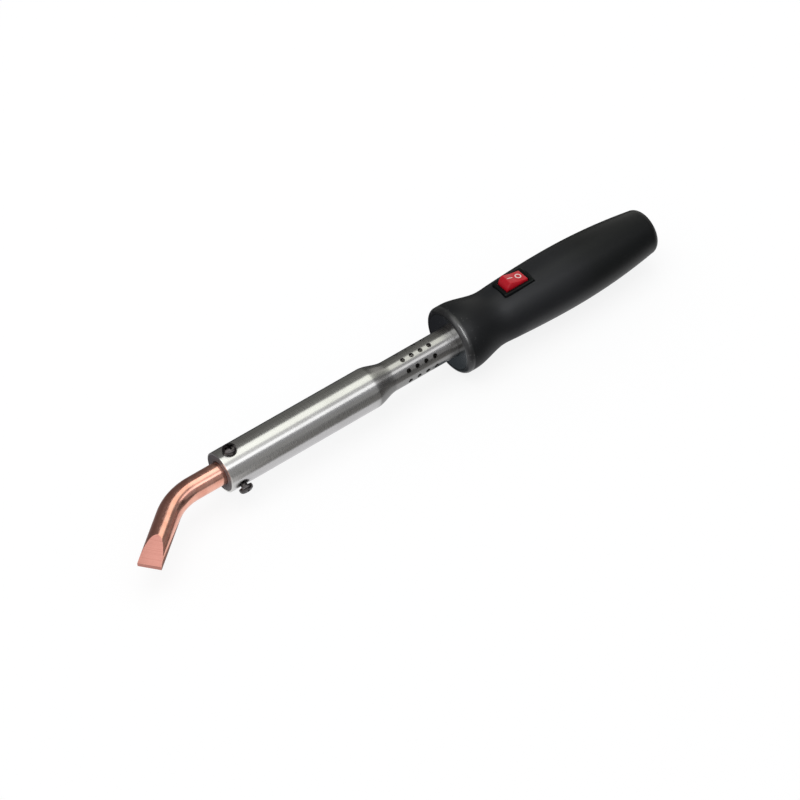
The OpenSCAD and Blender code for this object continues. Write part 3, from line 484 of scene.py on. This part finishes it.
# Painted light: the beads are painted pale on their +Y side, as light falling in through the top row of vent
# holes.
tint_along(beads_painted_light_and_shade, (0.8, 0.76, 0.68), 0.2, 1.2, 0.95, "Y")
lines_in(dark_steel, None, 0.35, 0.5, (0.09, 0.085, 0.088))
lines_in(ground_copper, leg_way, 0.4, 0.6, (0.42, 0.17, 0.135))
print("marks and lines added")

# %% [markdown]
# ## Turned pieces
# Handle, barrel, collars and bush are all round about the tool's axis. Each could be spun with Blender's
# Screw modifier; here a short helper makes the rings itself, because then the outline can be rounded first
# and the shape closes on itself. The corner helper swaps each sharp corner for a short curve, the way a
# moulding or a lathe leaves it, and a highlight then runs along it.

# %% Helpers for turned pieces
def softened(corners, steps=4):
    """Rounds the corners of a closed outline of (x, radius, rounding), in millimetres."""
    points = []
    for i, (x, r, rounding) in enumerate(corners):
        here = Vector((x, r))
        if rounding == 0:
            points.append(here)
            continue
        to_last = (Vector(corners[i - 1][:2]) - here).normalized()
        to_next = (Vector(corners[(i + 1) % len(corners)][:2]) - here).normalized()
        cut = rounding / math.tan(to_last.angle(to_next) / 2)
        start, end = here + to_last * cut, here + to_next * cut
        for s in range(steps + 1):
            t = s / steps
            points.append(start * (1 - t) ** 2 + here * (2 * t * (1 - t)) + end * t ** 2)
    return points


def crisp_edges(mesh, sharp_angle=35):
    """Smooth shading, with crisp edges past an angle in degrees."""
    mesh.shade_smooth()
    mesh.set_sharp_from_angle(angle=math.radians(sharp_angle))


def smooth_mesh(name, shape, sharp_angle=35):
    """Turns a bmesh into an object with smooth shading and crisp edges."""
    bmesh.ops.remove_doubles(shape, verts=shape.verts, dist=1e-7)
    bmesh.ops.recalc_face_normals(shape, faces=shape.faces)
    mesh = bpy.data.meshes.new(name)
    shape.to_mesh(mesh)
    shape.free()
    crisp_edges(mesh, sharp_angle)
    return add_object(name, mesh)


def held(outline, reach=3.0, step=0.15):
    """Adds a point just inside each end of a long side, so that a corner's shading stays at the corner."""
    points = []
    for i, here in enumerate(outline):
        there = outline[(i + 1) % len(outline)]
        points.append(here)
        if (there - here).length > reach:
            way = (there - here).normalized() * step
            points += [here + way, there - way]
    return points


def turns(count):
    """Angles once round, evenly spaced."""
    return [2 * math.pi * k / count for k in range(count)]


def bridge(shape, one, two, closed=True):
    """Joins two rows of points with faces."""
    for k in range(len(one) if closed else len(one) - 1):
        n = (k + 1) % len(one)
        shape.faces.new((one[k], one[n], two[n], two[k]))


def turned(name, outline, segments=160):
    """Spins a closed outline of (x, radius) about the tool's axis."""
    shape = bmesh.new()
    angles = turns(segments)
    rings = [[shape.verts.new(place(x, -r * math.sin(a), r * math.cos(a))) for a in angles]
             for x, r in held(outline)]
    for ring, other in zip(rings, rings[1:] + rings[:1]):
        bridge(shape, ring, other)
    return smooth_mesh(name, shape)


def dress(piece, body, slot, finish, *nodes):
    """Gives a piece its finish, and says which body it rides on and which nodes it stands for."""
    if finish is not None:
        piece.data.materials.clear()
        piece.data.materials.append(finish)
    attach(piece, body)
    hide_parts(*nodes)
    print(piece.name, "faces", len(piece.data.polygons))


# %% [markdown]
# ## The handle
# The grip is one moulding: a rounded rim that keeps fingers off the hot neck, a waist, a belly that fills
# the hand, and a rounded end. Its outline is a smooth curve through five places, each with a radius and a
# slope, and the same places are in the model's source. The seat for the switch is cut with a Boolean
# modifier.

# %% Handle
def blend(a, b, t):
    """A point between two places, each an (x, radius, slope), on a curve that keeps their slopes."""
    d, u = b[0] - a[0], 1 - t
    r = a[1] * (1 + 2 * t) * u * u + b[1] * (3 - 2 * t) * t * t + d * (a[2] * t * u * u - b[2] * t * t * u)
    return Vector((a[0] + d * t, r))


def curve_through(knots, steps):
    """A smooth outline through places, with a number of steps between each two."""
    points = [blend(a, b, s / steps) for a, b in zip(knots, knots[1:]) for s in range(steps)]
    return points + [Vector(knots[-1][:2])]


def arc(x, r, radius, start, end, steps=12):
    """Part of a circle about a point of the outline, between two angles in degrees."""
    angles = [math.radians(start + (end - start) * i / steps) for i in range(steps + 1)]
    return [Vector((x + radius * math.cos(a), r + radius * math.sin(a))) for a in angles]


RIM, RIM_R, RIM_ROUND = -106.0, 15.25, 2.2
WAIST_R, BELLY_R, END_R, END_ROUND = 12.25, 13.7, 10.4, 4.0
DISC_SEAT, DISC_SEAT_R, HOLLOW_FRONT_R, HOLLOW_REAR_R = -100.8, 12.9, 9.95, 8.1
BUSH_SEAT, BUSH_HOLE_R = -6.5, 5.05
grip_knots = [(RIM + 4.9, RIM_R, 0.0), (RIM + 22.4, WAIST_R, 0.0), (RIM + 28.3, 12.6, 0.061),
              (RIM + 59.0, BELLY_R, 0.0), (-END_ROUND, END_R, -0.153)]
grip_outline = arc(RIM + RIM_ROUND, RIM_R - RIM_ROUND, RIM_ROUND, 180, 90)
grip_outline += curve_through(grip_knots, 26)
grip_outline += arc(-END_ROUND, END_R - END_ROUND, END_ROUND, 78, 0)
hollow = [(0.0, BUSH_HOLE_R + 0.25), (-0.25, BUSH_HOLE_R), (BUSH_SEAT, BUSH_HOLE_R),
          (BUSH_SEAT, HOLLOW_REAR_R), (DISC_SEAT, HOLLOW_FRONT_R), (DISC_SEAT, DISC_SEAT_R),
          (RIM + 0.1, DISC_SEAT_R)]
grip_outline += [Vector(point) for point in hollow]
grip = turned("grip", grip_outline, 192)
print("points in the handle's outline", len(grip_outline))

# %% The switch's seat in the handle
def keep_result(piece):
    """Turns a piece with modifiers into a plain mesh."""
    result = bpy.data.meshes.new_from_object(piece.evaluated_get(bpy.context.evaluated_depsgraph_get()))
    piece.modifiers.clear()
    piece.data = result


def cut_box(piece, low, high):
    """Cuts a box out of a piece, between two corners in millimetres."""
    shape = bmesh.new()
    bmesh.ops.create_cube(shape, size=1.0)
    for v in shape.verts:
        v.co = place(*[low[i] if v.co[i] < 0 else high[i] for i in range(3)])
    mesh = bpy.data.meshes.new("cutter")
    shape.to_mesh(mesh)
    shape.free()
    cutter = add_object("cutter", mesh)
    step = piece.modifiers.new("cut", "BOOLEAN")
    step.object = cutter
    step.solver = "EXACT"
    keep_result(piece)
    bpy.data.objects.remove(cutter)


SWITCH, SEAT, OVER_HANDLE = -71.1, 11.7, 20.0
for half_x, half_y, low, high in ((7.8, 5.0, SEAT, OVER_HANDLE), (6.6, 4.3, 0.0, SEAT + 1.0)):
    cut_box(grip, (SWITCH - half_x, -half_y, low), (SWITCH + half_x, half_y, high))
dress(grip, "iron", "handle_black", handle_plastic, "handle_shell")
rim_only.objects.link(grip)

# %% [markdown]
# ## Collars, bush and nose ring
# The front collar is a smooth steel disc inside the rim, a little hollow, which mirrors the neck. The nose
# ring fills the barrel's mouth and guides the bit. The bush lines the hole where the cord enters. All three
# are turned.

# %% Front collar, nose ring and cord bush
DISC_EDGE, DISC_MIDDLE, DISC_BACK, DISC_R, DISC_HOLE_R = -105.9, -105.4, -102.3, 12.8, 6.8
disc_outline = softened([(DISC_EDGE, DISC_R, 0.1), (DISC_BACK, DISC_R, 0), (DISC_BACK, DISC_HOLE_R, 0),
                         (DISC_MIDDLE, DISC_HOLE_R, 0.1)])
dress(turned("front_disc", disc_outline), "iron", "shield_steel", shield_steel, "front_collar")

MOUTH = -220.9
NOSE_FRONT, NOSE_BACK, NOSE_R, NOSE_HOLE_R = MOUTH + 0.05, MOUTH + 11.0, 8.15, 5.15
nose_outline = softened([(NOSE_FRONT, NOSE_HOLE_R, 0.25), (NOSE_FRONT, NOSE_R, 0.2), (NOSE_BACK, NOSE_R, 0.2),
                         (NOSE_BACK, NOSE_HOLE_R, 0.2)])
dress(turned("nose_ring", nose_outline), "iron", "dark_steel", dark_steel, "nose_collar")

BUSH_STEP, BUSH_BACK, BUSH_R, BUSH_BACK_R, CORD_HOLE_R = -6.55, -7.95, 5.0, 6.0, 3.6
bush_outline = softened([(0.0, CORD_HOLE_R, 0.4), (0.0, BUSH_R, 0.3), (BUSH_STEP, BUSH_R, 0),
                         (BUSH_STEP, BUSH_BACK_R, 0.2), (BUSH_BACK, BUSH_BACK_R, 0.3),
                         (BUSH_BACK, CORD_HOLE_R, 0.3)])
dress(turned("cord_entry", bush_outline), "iron", "bush_rubber", bush_rubber, "cord_bush")

# %% [markdown]
# ## The barrel and its vent holes
# The barrel is a thin tube, drawn down to a neck whose holes let the heat out before it reaches the hand.
# The tube is turned like the rest. The holes repeat along rows and round the neck, which is work for
# Geometry Nodes: one cutter is copied along a line, the line is copied round the axis, and all are cut at
# once.

# %% Helpers for trees
def new_tree(name, inputs):
    """An empty tree of geometry nodes with a geometry in, named inputs and a geometry out."""
    tree = bpy.data.node_groups.new(name, "GeometryNodeTree")
    tree.interface.new_socket("Geometry", in_out="OUTPUT", socket_type="NodeSocketGeometry")
    tree.interface.new_socket("Geometry", in_out="INPUT", socket_type="NodeSocketGeometry")
    for label, kind in inputs:
        tree.interface.new_socket(label, in_out="INPUT", socket_type="NodeSocket" + kind)
    return tree


def vector(tree, **parts):
    """A vector from its parts along the axes, which are numbers or sockets."""
    return add_node(tree, "ShaderNodeCombineXYZ", parts).outputs[0]


def about_x(tree, angle):
    """A turn about the tool's axis."""
    return add_node(tree, "FunctionNodeEulerToRotation", {0: vector(tree, X=angle)}).outputs[0]


def close_tree(tree, geometry, finish):
    """Every tree ends the same way: real geometry with its finish."""
    real = add_node(tree, "GeometryNodeRealizeInstances", {"Geometry": geometry})
    dressed = add_node(tree, "GeometryNodeSetMaterial", {
        "Geometry": real.outputs[0], "Material": finish})
    add_node(tree, "NodeGroupOutput", {0: dressed.outputs[0]})


def run_tree(piece, tree, values):
    """Runs a tree on a piece and keeps the result as a plain mesh with crisp edges."""
    step = piece.modifiers.new("tree", "NODES")
    step.node_group = tree
    for item in tree.interface.items_tree:
        if item.in_out == "INPUT" and item.name in values:
            step[item.identifier] = values[item.name]
    keep_result(piece)
    crisp_edges(piece.data)


# %% A tree that drills rows of holes
drill = new_tree("Rows of holes", [("Hole diameter", "Float"), ("Holes", "Int"), ("Pitch", "Float"),
                                   ("First hole", "Float"), ("Rows", "Int"), ("Turn", "Float"),
                                   ("Radius", "Float"), ("Finish", "Material")])
given = add_node(drill, "NodeGroupInput").outputs
hole_radius = figure(drill, "MULTIPLY", given["Hole diameter"], 0.5)
cutter = add_node(drill, "GeometryNodeMeshCylinder", {
    "Vertices": 32, "Radius": hole_radius, "Depth": given["Radius"]})
lifted = add_node(drill, "GeometryNodeTransform", {
    "Geometry": cutter.outputs["Mesh"], "Translation": vector(drill, Z=given["Radius"])})
row_line = add_node(drill, "GeometryNodeMeshLine", {
    "Count": given["Holes"], "Start Location": vector(drill, X=given["First hole"]),
    "Offset": vector(drill, X=given["Pitch"])})
row = add_node(drill, "GeometryNodeInstanceOnPoints", {
    "Points": row_line.outputs[0], "Instance": lifted.outputs[0]})
one_row = add_node(drill, "GeometryNodeRealizeInstances", {"Geometry": row.outputs[0]})
hub = add_node(drill, "GeometryNodePoints", {"Count": given["Rows"]})
number = add_node(drill, "GeometryNodeInputIndex").outputs[0]
row_angle = figure(drill, "DIVIDE", 2 * math.pi, given["Rows"])
angle = figure(drill, "MULTIPLY_ADD", number, row_angle, given["Turn"])
rows = add_node(drill, "GeometryNodeInstanceOnPoints", {
    "Points": hub.outputs[0], "Instance": one_row.outputs[0], "Rotation": about_x(drill, angle)})
drilled = add_node(drill, "GeometryNodeMeshBoolean", {
    "Mesh 1": given["Geometry"], "Mesh 2": rows.outputs[0]}, operation="DIFFERENCE", solver="EXACT")
close_tree(drill, drilled.outputs[0], given["Finish"])
print("drill tree nodes", len(drill.nodes))

# %% Barrel
BARREL_R, NECK_R, WALL, INWARDS = 9.0, 6.7, 0.8, -0.3
TAPER_FRONT, TAPER_BACK, NECK_END, NECK_STEPS = -147.7, -136.7, DISC_SEAT, 48
taper = curve_through([(TAPER_FRONT, BARREL_R, 0.0), (TAPER_BACK, NECK_R, 0.0)], 24)
neck_places = [TAPER_BACK + (NECK_END - TAPER_BACK) * i / NECK_STEPS for i in range(1, NECK_STEPS + 1)]
outer = taper + [Vector((x, NECK_R)) for x in neck_places]
inner = [Vector((p.x, p.y - WALL)) for p in reversed(outer)]
lip = [Vector((MOUTH + x, BARREL_R - r)) for x, r in ((0.0, WALL), (0.0, 0.28), (0.09, 0.08), (0.28, 0.0))]
barrel = turned("barrel_tube", lip + outer + inner, 192)
run_tree(barrel, drill, {"Hole diameter": 2.1 * MM, "Holes": 4, "Pitch": 4.5 * MM,
                         "First hole": (TAPER_BACK + 6.5) * MM, "Rows": 8, "Turn": math.radians(14),
                         "Radius": NECK_R * MM, "Finish": stainless})
barrel.data.materials.clear()
for finish in (stainless, barrel_inside):
    barrel.data.materials.append(finish)
for face in barrel.data.polygons:
    outwards = Vector((0.0, face.center.y, face.center.z)).normalized()
    face.material_index = 1 if face.normal.dot(outwards) < INWARDS else 0
dress(barrel, "iron", "stainless", None, "barrel")

# %% [markdown]
# ## The clamp screws
# Three black pan-head screws hold the bit. Each is a turned head and shank; the same tree cuts the cross
# and the slot into it and swings it to its place round the barrel. Each rides on a body of its own, so the
# tree runs once for each screw, with another turn. The left one stands a little off the barrel, as in the
# photograph.

# %% A tree that finishes a screw
screw_tree = new_tree("Clamp screw", [("Slot width", "Float"), ("Cross length", "Float"),
                                      ("Cross depth", "Float"), ("Head diameter", "Float"), ("Top", "Float"),
                                      ("Station", "Float"), ("Turn", "Float"), ("Finish", "Material")])
given = add_node(screw_tree, "NodeGroupInput").outputs
recessed = add_node(screw_tree, "GeometryNodeMeshBoolean", {"Mesh 1": given["Geometry"]},
                    operation="DIFFERENCE", solver="EXACT")
twice = figure(screw_tree, "MULTIPLY", given["Cross depth"], 2.0)
head_top = vector(screw_tree, Z=given["Top"])
for along, across, deep in (("Cross length", "Slot width", twice), ("Slot width", "Cross length", twice),
                            ("Head diameter", "Slot width", given["Cross depth"])):
    size = vector(screw_tree, X=given[along], Y=given[across], Z=deep)
    block = add_node(screw_tree, "GeometryNodeMeshCube", {"Size": size})
    cut = add_node(screw_tree, "GeometryNodeTransform", {
        "Geometry": block.outputs["Mesh"], "Translation": head_top})
    feed(screw_tree, recessed, {"Mesh 2": cut.outputs[0]})
swung = add_node(screw_tree, "GeometryNodeTransform", {
    "Geometry": recessed.outputs[0], "Translation": vector(screw_tree, X=given["Station"]),
    "Rotation": about_x(screw_tree, given["Turn"])})
close_tree(screw_tree, swung.outputs[0], given["Finish"])
print("screw tree nodes", len(screw_tree.nodes))

# %% Clamp screws
HEAD_R, HEAD_H, HEAD_EDGE, HEAD_SEAT, SHANK_R, SHANK_TIP = 3.05, 2.4, 0.72, 9.05, 1.5, 5.05
DOME_STEPS, DOME_POWER, HEAD_CHAMFER, TIP_CHAMFER = 12, 0.8, 0.12, 0.3


def screw_blank(name, seat, segments=64):
    """A pan head and its shank, turned about Z."""
    dome = HEAD_H - HEAD_EDGE
    side = [(HEAD_R * math.sin(a) ** DOME_POWER, seat + HEAD_EDGE + dome * max(math.cos(a), 0) ** DOME_POWER)
            for a in [math.radians(90 * i / DOME_STEPS) for i in range(1, DOME_STEPS + 1)]]
    side += [(HEAD_R, seat + HEAD_CHAMFER), (HEAD_R - HEAD_CHAMFER, seat), (SHANK_R, seat),
             (SHANK_R, SHANK_TIP + TIP_CHAMFER), (SHANK_R - TIP_CHAMFER, SHANK_TIP)]
    shape = bmesh.new()
    angles = turns(segments)
    rings = [[shape.verts.new(place(r * math.cos(a), r * math.sin(a), z)) for a in angles] for r, z in side]
    for upper, lower in zip(rings, rings[1:]):
        bridge(shape, upper, lower)
    for ring, z in ((rings[0], seat + HEAD_H), (rings[-1], SHANK_TIP)):
        pole = shape.verts.new(place(0, 0, z))
        for k in range(segments):
            shape.faces.new((ring[k], ring[(k + 1) % segments], pole))
    return smooth_mesh(name, shape)


for side_name, turn_degrees, proud in (("top", 0, 0.0), ("left", 120, 0.9), ("right", -120, 0.0)):
    screw = screw_blank("clamp_screw_" + side_name, HEAD_SEAT + proud)
    run_tree(screw, screw_tree, {"Slot width": 0.85 * MM, "Cross length": 3.5 * MM, "Cross depth": 1.3 * MM,
                                 "Head diameter": 7.0 * MM, "Top": (HEAD_SEAT + proud + HEAD_H) * MM,
                                 "Station": (MOUTH + 5.7) * MM, "Turn": math.radians(turn_degrees),
                                 "Finish": black_oxide})
    dress(screw, "screw_" + side_name, "black_oxide", None, "bit_screw_" + side_name)

# %% [markdown]
# ## The copper bit
# The bit is a round bar, bent once, with two flats ground on its end. A curve with a bevel could give the
# bar, but the flats have to be cut, so the bar is swept ring by ring and sliced with two planes. The new
# edges get a narrow bevel, because copper never keeps a knife edge, and the cut faces get the ground
# finish.

# %% The bent bar
BIT_R, BEND_R, REACH, LEG, INSERT, FLAT, EDGE = 5.0, 25.0, 22.1, 35.4, 58.0, 12.5, 1.9
BIT_CHAMFER, BEND_STEPS, LEG_STEPS, BAR_SIDES = 0.5, 24, 24, 96
SHANK_FIRST, SHANK_PITCH, SHANK_RINGS = 6.0, 4.0, 5
bend_run = BEND_R * math.tan(BIT_BEND / 2)
bend_up = Vector((0.0, -math.sin(BIT_DIP), math.cos(BIT_DIP)))
bend_start = Vector((MOUTH - REACH + bend_run, 0.0, 0.0))
bend_centre = bend_start + bend_side * BEND_R
shank = [(MOUTH + INSERT, BIT_R - BIT_CHAMFER), (MOUTH + INSERT - BIT_CHAMFER, BIT_R)]
shank += [(MOUTH + SHANK_FIRST - SHANK_PITCH * i, BIT_R) for i in range(SHANK_RINGS)]
path = [(Vector((x, 0.0, 0.0)), 0.0, r) for x, r in shank]
for i in range(BEND_STEPS + 1):
    a = BIT_BEND * i / BEND_STEPS
    bent = bend_centre - bend_side * BEND_R * math.cos(a) + Vector((-BEND_R * math.sin(a), 0.0, 0.0))
    path.append((bent, a, BIT_R))
leg_start = path[-1][0]
leg_length = LEG - bend_run
path += [(leg_start + leg_way * leg_length * i / LEG_STEPS, BIT_BEND, BIT_R) for i in range(1, LEG_STEPS + 1)]

bar = bmesh.new()
bar_rings = []
for centre, a, r in path:
    out = bend_side * math.cos(a) + Vector((math.sin(a), 0.0, 0.0))
    bar_rings.append([bar.verts.new((centre + (out * math.cos(b) + bend_up * math.sin(b)) * r) * MM)
                      for b in turns(BAR_SIDES)])
for one, two in zip(bar_rings, bar_rings[1:]):
    bridge(bar, one, two)
for ring in (bar_rings[0], bar_rings[-1]):
    bar.faces.new(ring)
bmesh.ops.recalc_face_normals(bar, faces=bar.faces)
print("bar rings", len(bar_rings))

# %% The flats on the bit
BIT_BEVEL, CRISP_ANGLE, FACES_END = 0.16, 0.25, 0.99
bit_end = leg_start + leg_way * leg_length
for side in (1, -1):
    facing = (leg_way * (BIT_R - EDGE / 2) + bend_up * side * FLAT).normalized()
    on_plane = bit_end + bend_up * side * EDGE / 2
    sliced = bmesh.ops.bisect_plane(bar, geom=bar.verts[:] + bar.edges[:] + bar.faces[:], dist=1e-8,
                                    plane_co=on_plane * MM, plane_no=facing, clear_outer=True)
    rim_edges = [e for e in sliced["geom_cut"] if isinstance(e, bmesh.types.BMEdge)]
    bmesh.ops.edgeloop_fill(bar, edges=rim_edges, mat_nr=1)
ground = [f for f in bar.faces if f.material_index == 1]
end_face = [f for f in bar.faces if f.normal.dot(leg_way) > FACES_END]
for face in end_face:
    face.material_index = 1
crisp = {e for f in ground + end_face for e in f.edges
         if len(e.link_faces) == 2 and e.calc_face_angle() > CRISP_ANGLE}
bmesh.ops.bevel(bar, geom=list(crisp), offset=BIT_BEVEL * MM, segments=2, profile=0.6, affect="EDGES",
                clamp_overlap=True)
bit = smooth_mesh("chisel_bit", bar, 28)
bit.data.materials.append(copper)
bit.data.materials.append(ground_copper)
dress(bit, "bit", "copper", None, "copper_bit")

# %% [markdown]
# ## The switch
# A small rocker switch sits in a flat seat: a glossy black frame with a red rocker in it. The frame is
# lofted through loops of one rounded rectangle that shrinks and drops, so its lip, its sides and its inner
# well are one skin. The rocker is an outline pushed sideways and bevelled, with a pin through it to turn on
# and a round post below. At rest its rear half is pressed, which is off.

# %% Switch frame
def rounded_rectangle(half_x, half_y, corner, z, steps=7):
    """A level loop of points about the switch's middle."""
    points = []
    for sx, sy, start in ((1, 1, 0), (-1, 1, 90), (-1, -1, 180), (1, -1, 270)):
        for i in range(steps + 1):
            a = math.radians(start + 90 * i / steps)
            points.append(place(SWITCH + sx * (half_x - corner) + corner * math.cos(a),
                                sy * (half_y - corner) + corner * math.sin(a), z))
    return points


def lofted(name, loops):
    """A closed skin over loops with the same number of points, capped at both ends."""
    shape = bmesh.new()
    rings = [[shape.verts.new(p) for p in loop] for loop in loops]
    for one, two in zip(rings, rings[1:]):
        bridge(shape, one, two)
    for ring in (rings[0], rings[-1]):
        shape.faces.new(ring)
    return smooth_mesh(name, shape, 40)


BEZEL_TOP = SEAT + 1.6
frame_loops = [(6.5, 4.2, 0.4, SEAT - 11.0), (6.5, 4.2, 0.4, SEAT), (7.6, 4.8, 0.85, SEAT),
               (7.7, 4.9, 0.9, SEAT + 0.1), (7.7, 4.9, 0.9, BEZEL_TOP - 0.45),
               (7.62, 4.82, 0.85, BEZEL_TOP - 0.18), (7.42, 4.62, 0.75, BEZEL_TOP - 0.03),
               (7.2, 4.4, 0.7, BEZEL_TOP), (6.2, 3.7, 0.5, BEZEL_TOP),
               (6.02, 3.52, 0.45, BEZEL_TOP - 0.06), (5.92, 3.42, 0.4, BEZEL_TOP - 0.2),
               (5.9, 3.4, 0.4, BEZEL_TOP - 0.5), (5.9, 3.4, 0.4, SEAT - 9.8)]
switch_frame = lofted("switch_frame", [rounded_rectangle(*loop) for loop in frame_loops])
dress(switch_frame, "iron", "switch_black", bezel_plastic, "switch_housing")

# %% The rocker's outline
PIVOT_Z, ROCKER_R, ROCKER_HALF_W, TOP_HALF = 12.2, 5.7, 3.2, 4.6
VALLEY_ABOVE, DIP_HALF, DIP_CURVE, CHEEK_LOW, CHEEK_STEPS = 1.65, 1.4, 0.03, -1.6, 6
ROCK = math.radians(16)
SLOPE = math.tan(math.radians(5))
valley = (BEZEL_TOP - PIVOT_Z + VALLEY_ABOVE) / math.cos(ROCK)


def top_height(along):
    """How far the level rocker's top is above its pivot, by the distance from its middle."""
    return valley + abs(along) * SLOPE + DIP_CURVE * max(0.0, DIP_HALF - abs(along)) ** 2


crest = top_height(TOP_HALF)
waist = ROCKER_R / 4
low_angle, high_angle = math.asin(CHEEK_LOW / ROCKER_R), math.asin(waist / ROCKER_R)
cheek = [Vector((ROCKER_R * math.cos(a), ROCKER_R * math.sin(a)))
         for a in [low_angle + (high_angle - low_angle) * i / CHEEK_STEPS for i in range(CHEEK_STEPS + 1)]]
dip = [Vector((x, top_height(x))) for x in (DIP_HALF, 0.9, 0.45, 0.0, -0.45, -0.9, -DIP_HALF)]
rocker_outline = cheek + [Vector((TOP_HALF, crest))] + dip
rocker_outline += [Vector((-TOP_HALF, crest))] + [Vector((-p.x, p.y)) for p in reversed(cheek)]
print("points in the rocker's outline", len(rocker_outline))

# %% Rocker
ROCKER_BEVEL, CORNER_ANGLE = 0.34, 0.5
PIN_R, PIN_LENGTH, POST_R, POST_LENGTH, POST_Z = 0.6, 8.4, 1.9, 4.2, -3.5
at_rest = Matrix.Translation(place(SWITCH, 0, PIVOT_Z)) @ Matrix.Rotation(ROCK, 4, "Y")
rocker = bmesh.new()
sides = [[rocker.verts.new(place(p.x, y, p.y)) for p in rocker_outline]
         for y in (-ROCKER_HALF_W, ROCKER_HALF_W)]
bridge(rocker, *sides)
for side in sides:
    rocker.faces.new(side)
bmesh.ops.recalc_face_normals(rocker, faces=rocker.faces)
corners = [e for e in rocker.edges if e.calc_face_angle() > CORNER_ANGLE]
bmesh.ops.bevel(rocker, geom=corners, offset=ROCKER_BEVEL * MM, segments=4, profile=0.5, affect="EDGES",
                clamp_overlap=True)
for radius, length, spot in ((PIN_R, PIN_LENGTH, Matrix.Rotation(math.pi / 2, 4, "X")),
                             (POST_R, POST_LENGTH, Matrix.Translation(place(0, 0, POST_Z)))):
    bmesh.ops.create_cone(rocker, cap_ends=True, segments=32, radius1=radius * MM, radius2=radius * MM,
                          depth=length * MM, matrix=spot)
bmesh.ops.transform(rocker, matrix=at_rest, verts=rocker.verts)
button = smooth_mesh("rocker_button", rocker, 30)
dress(button, "rocker", "rocker_red", red_plastic, "switch_rocker")

# %% [markdown]
# ## The marks on the rocker
# A bar for on and a ring for off are moulded in white. They could be painted in the material, but thin
# raised shapes stay sharp at any distance. Each is drawn flat on its own half of the rocker and follows its
# slope.

# %% Marks
MARK_SINK, MARK_RISE = -0.06, 0.035


def on_top(along, across, lift):
    """A point on the level rocker's top, moved to its place at rest."""
    return at_rest @ place(along, across, top_height(along) + lift)


def raised_strip(shape, left, right, closed):
    """A low strip between two rows of points on the rocker's top, with a skirt that sinks into it."""
    edges = ((left, MARK_SINK), (left, MARK_RISE), (right, MARK_RISE), (right, MARK_SINK))
    rows = [[shape.verts.new(on_top(x, y, lift)) for x, y in line] for line, lift in edges]
    for one, two in zip(rows, rows[1:] + rows[:1]):
        bridge(shape, one, two, closed)
    if not closed:
        for k in (0, -1):
            shape.faces.new([r[k] for r in rows])


BAR_FRONT, BAR_LENGTH, BAR_ACROSS, BAR_HALF_W, BAR_STEPS = -3.75, 2.8, 0.28, 0.2, 6
RING_ALONG, RING_ACROSS, RING_IN, RING_OUT = 1.9, 0.1, 0.95, 1.42
marks = bmesh.new()
bar_x = [BAR_FRONT + BAR_LENGTH * i / BAR_STEPS for i in range(BAR_STEPS + 1)]
bar_left, bar_right = [[(x, BAR_ACROSS + side * BAR_HALF_W) for x in bar_x] for side in (1, -1)]
raised_strip(marks, bar_left, bar_right, False)
ring_in, ring_out = [[(RING_ALONG + r * math.cos(a), RING_ACROSS + r * math.sin(a)) for a in turns(40)]
                     for r in (RING_IN, RING_OUT)]
raised_strip(marks, ring_in, ring_out, True)
rocker_marks = smooth_mesh("rocker_marks", marks)
rocker_marks.data.materials.append(mark_white)
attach(rocker_marks, "rocker")
print("marks faces", len(rocker_marks.data.polygons))

# %% [markdown]
# ## The pieces inside
# The heater, the wiring and the switch's works keep their solid shapes from the model, which are right as
# they are, and get finishes by name. Some of them show through the vent holes.

# %% Finishes for the pieces inside
inside = {
    "heater_former": heat_steel, "inner_mica": mica, "outer_mica": mica, "heater_winding": heater_wire,
    "heater_sleeve": ceramic, "heater_end_disc": ceramic, "heater_lead_live": nickel,
    "heater_lead_neutral": nickel, "lead_beads": beads_painted_light_and_shade, "lead_crimps": nickel, "neck_flange": zinc,
    "flange_screws": zinc, "earth_receptacle": brass, "rocker_plunger": nylon, "rocker_spring": spring_wire,
    "contact_lever": brass,
    "switch_terminal_common": brass, "switch_terminal_load": brass, "switch_receptacles": brass,
    "terminal_block": nylon, "terminal_inserts": brass, "terminal_screws": zinc, "wire_live": brown_cover,
    "wire_load": brown_cover, "wire_neutral": blue_cover, "wire_earth": green_cover,
}
for name, finish in inside.items():
    node_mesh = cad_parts[name].data
    node_mesh.materials.clear()
    node_mesh.materials.append(finish)
print("inner pieces dressed:", len(inside))

# %% [markdown]
# ## The end

# %% Finish
print("finished")
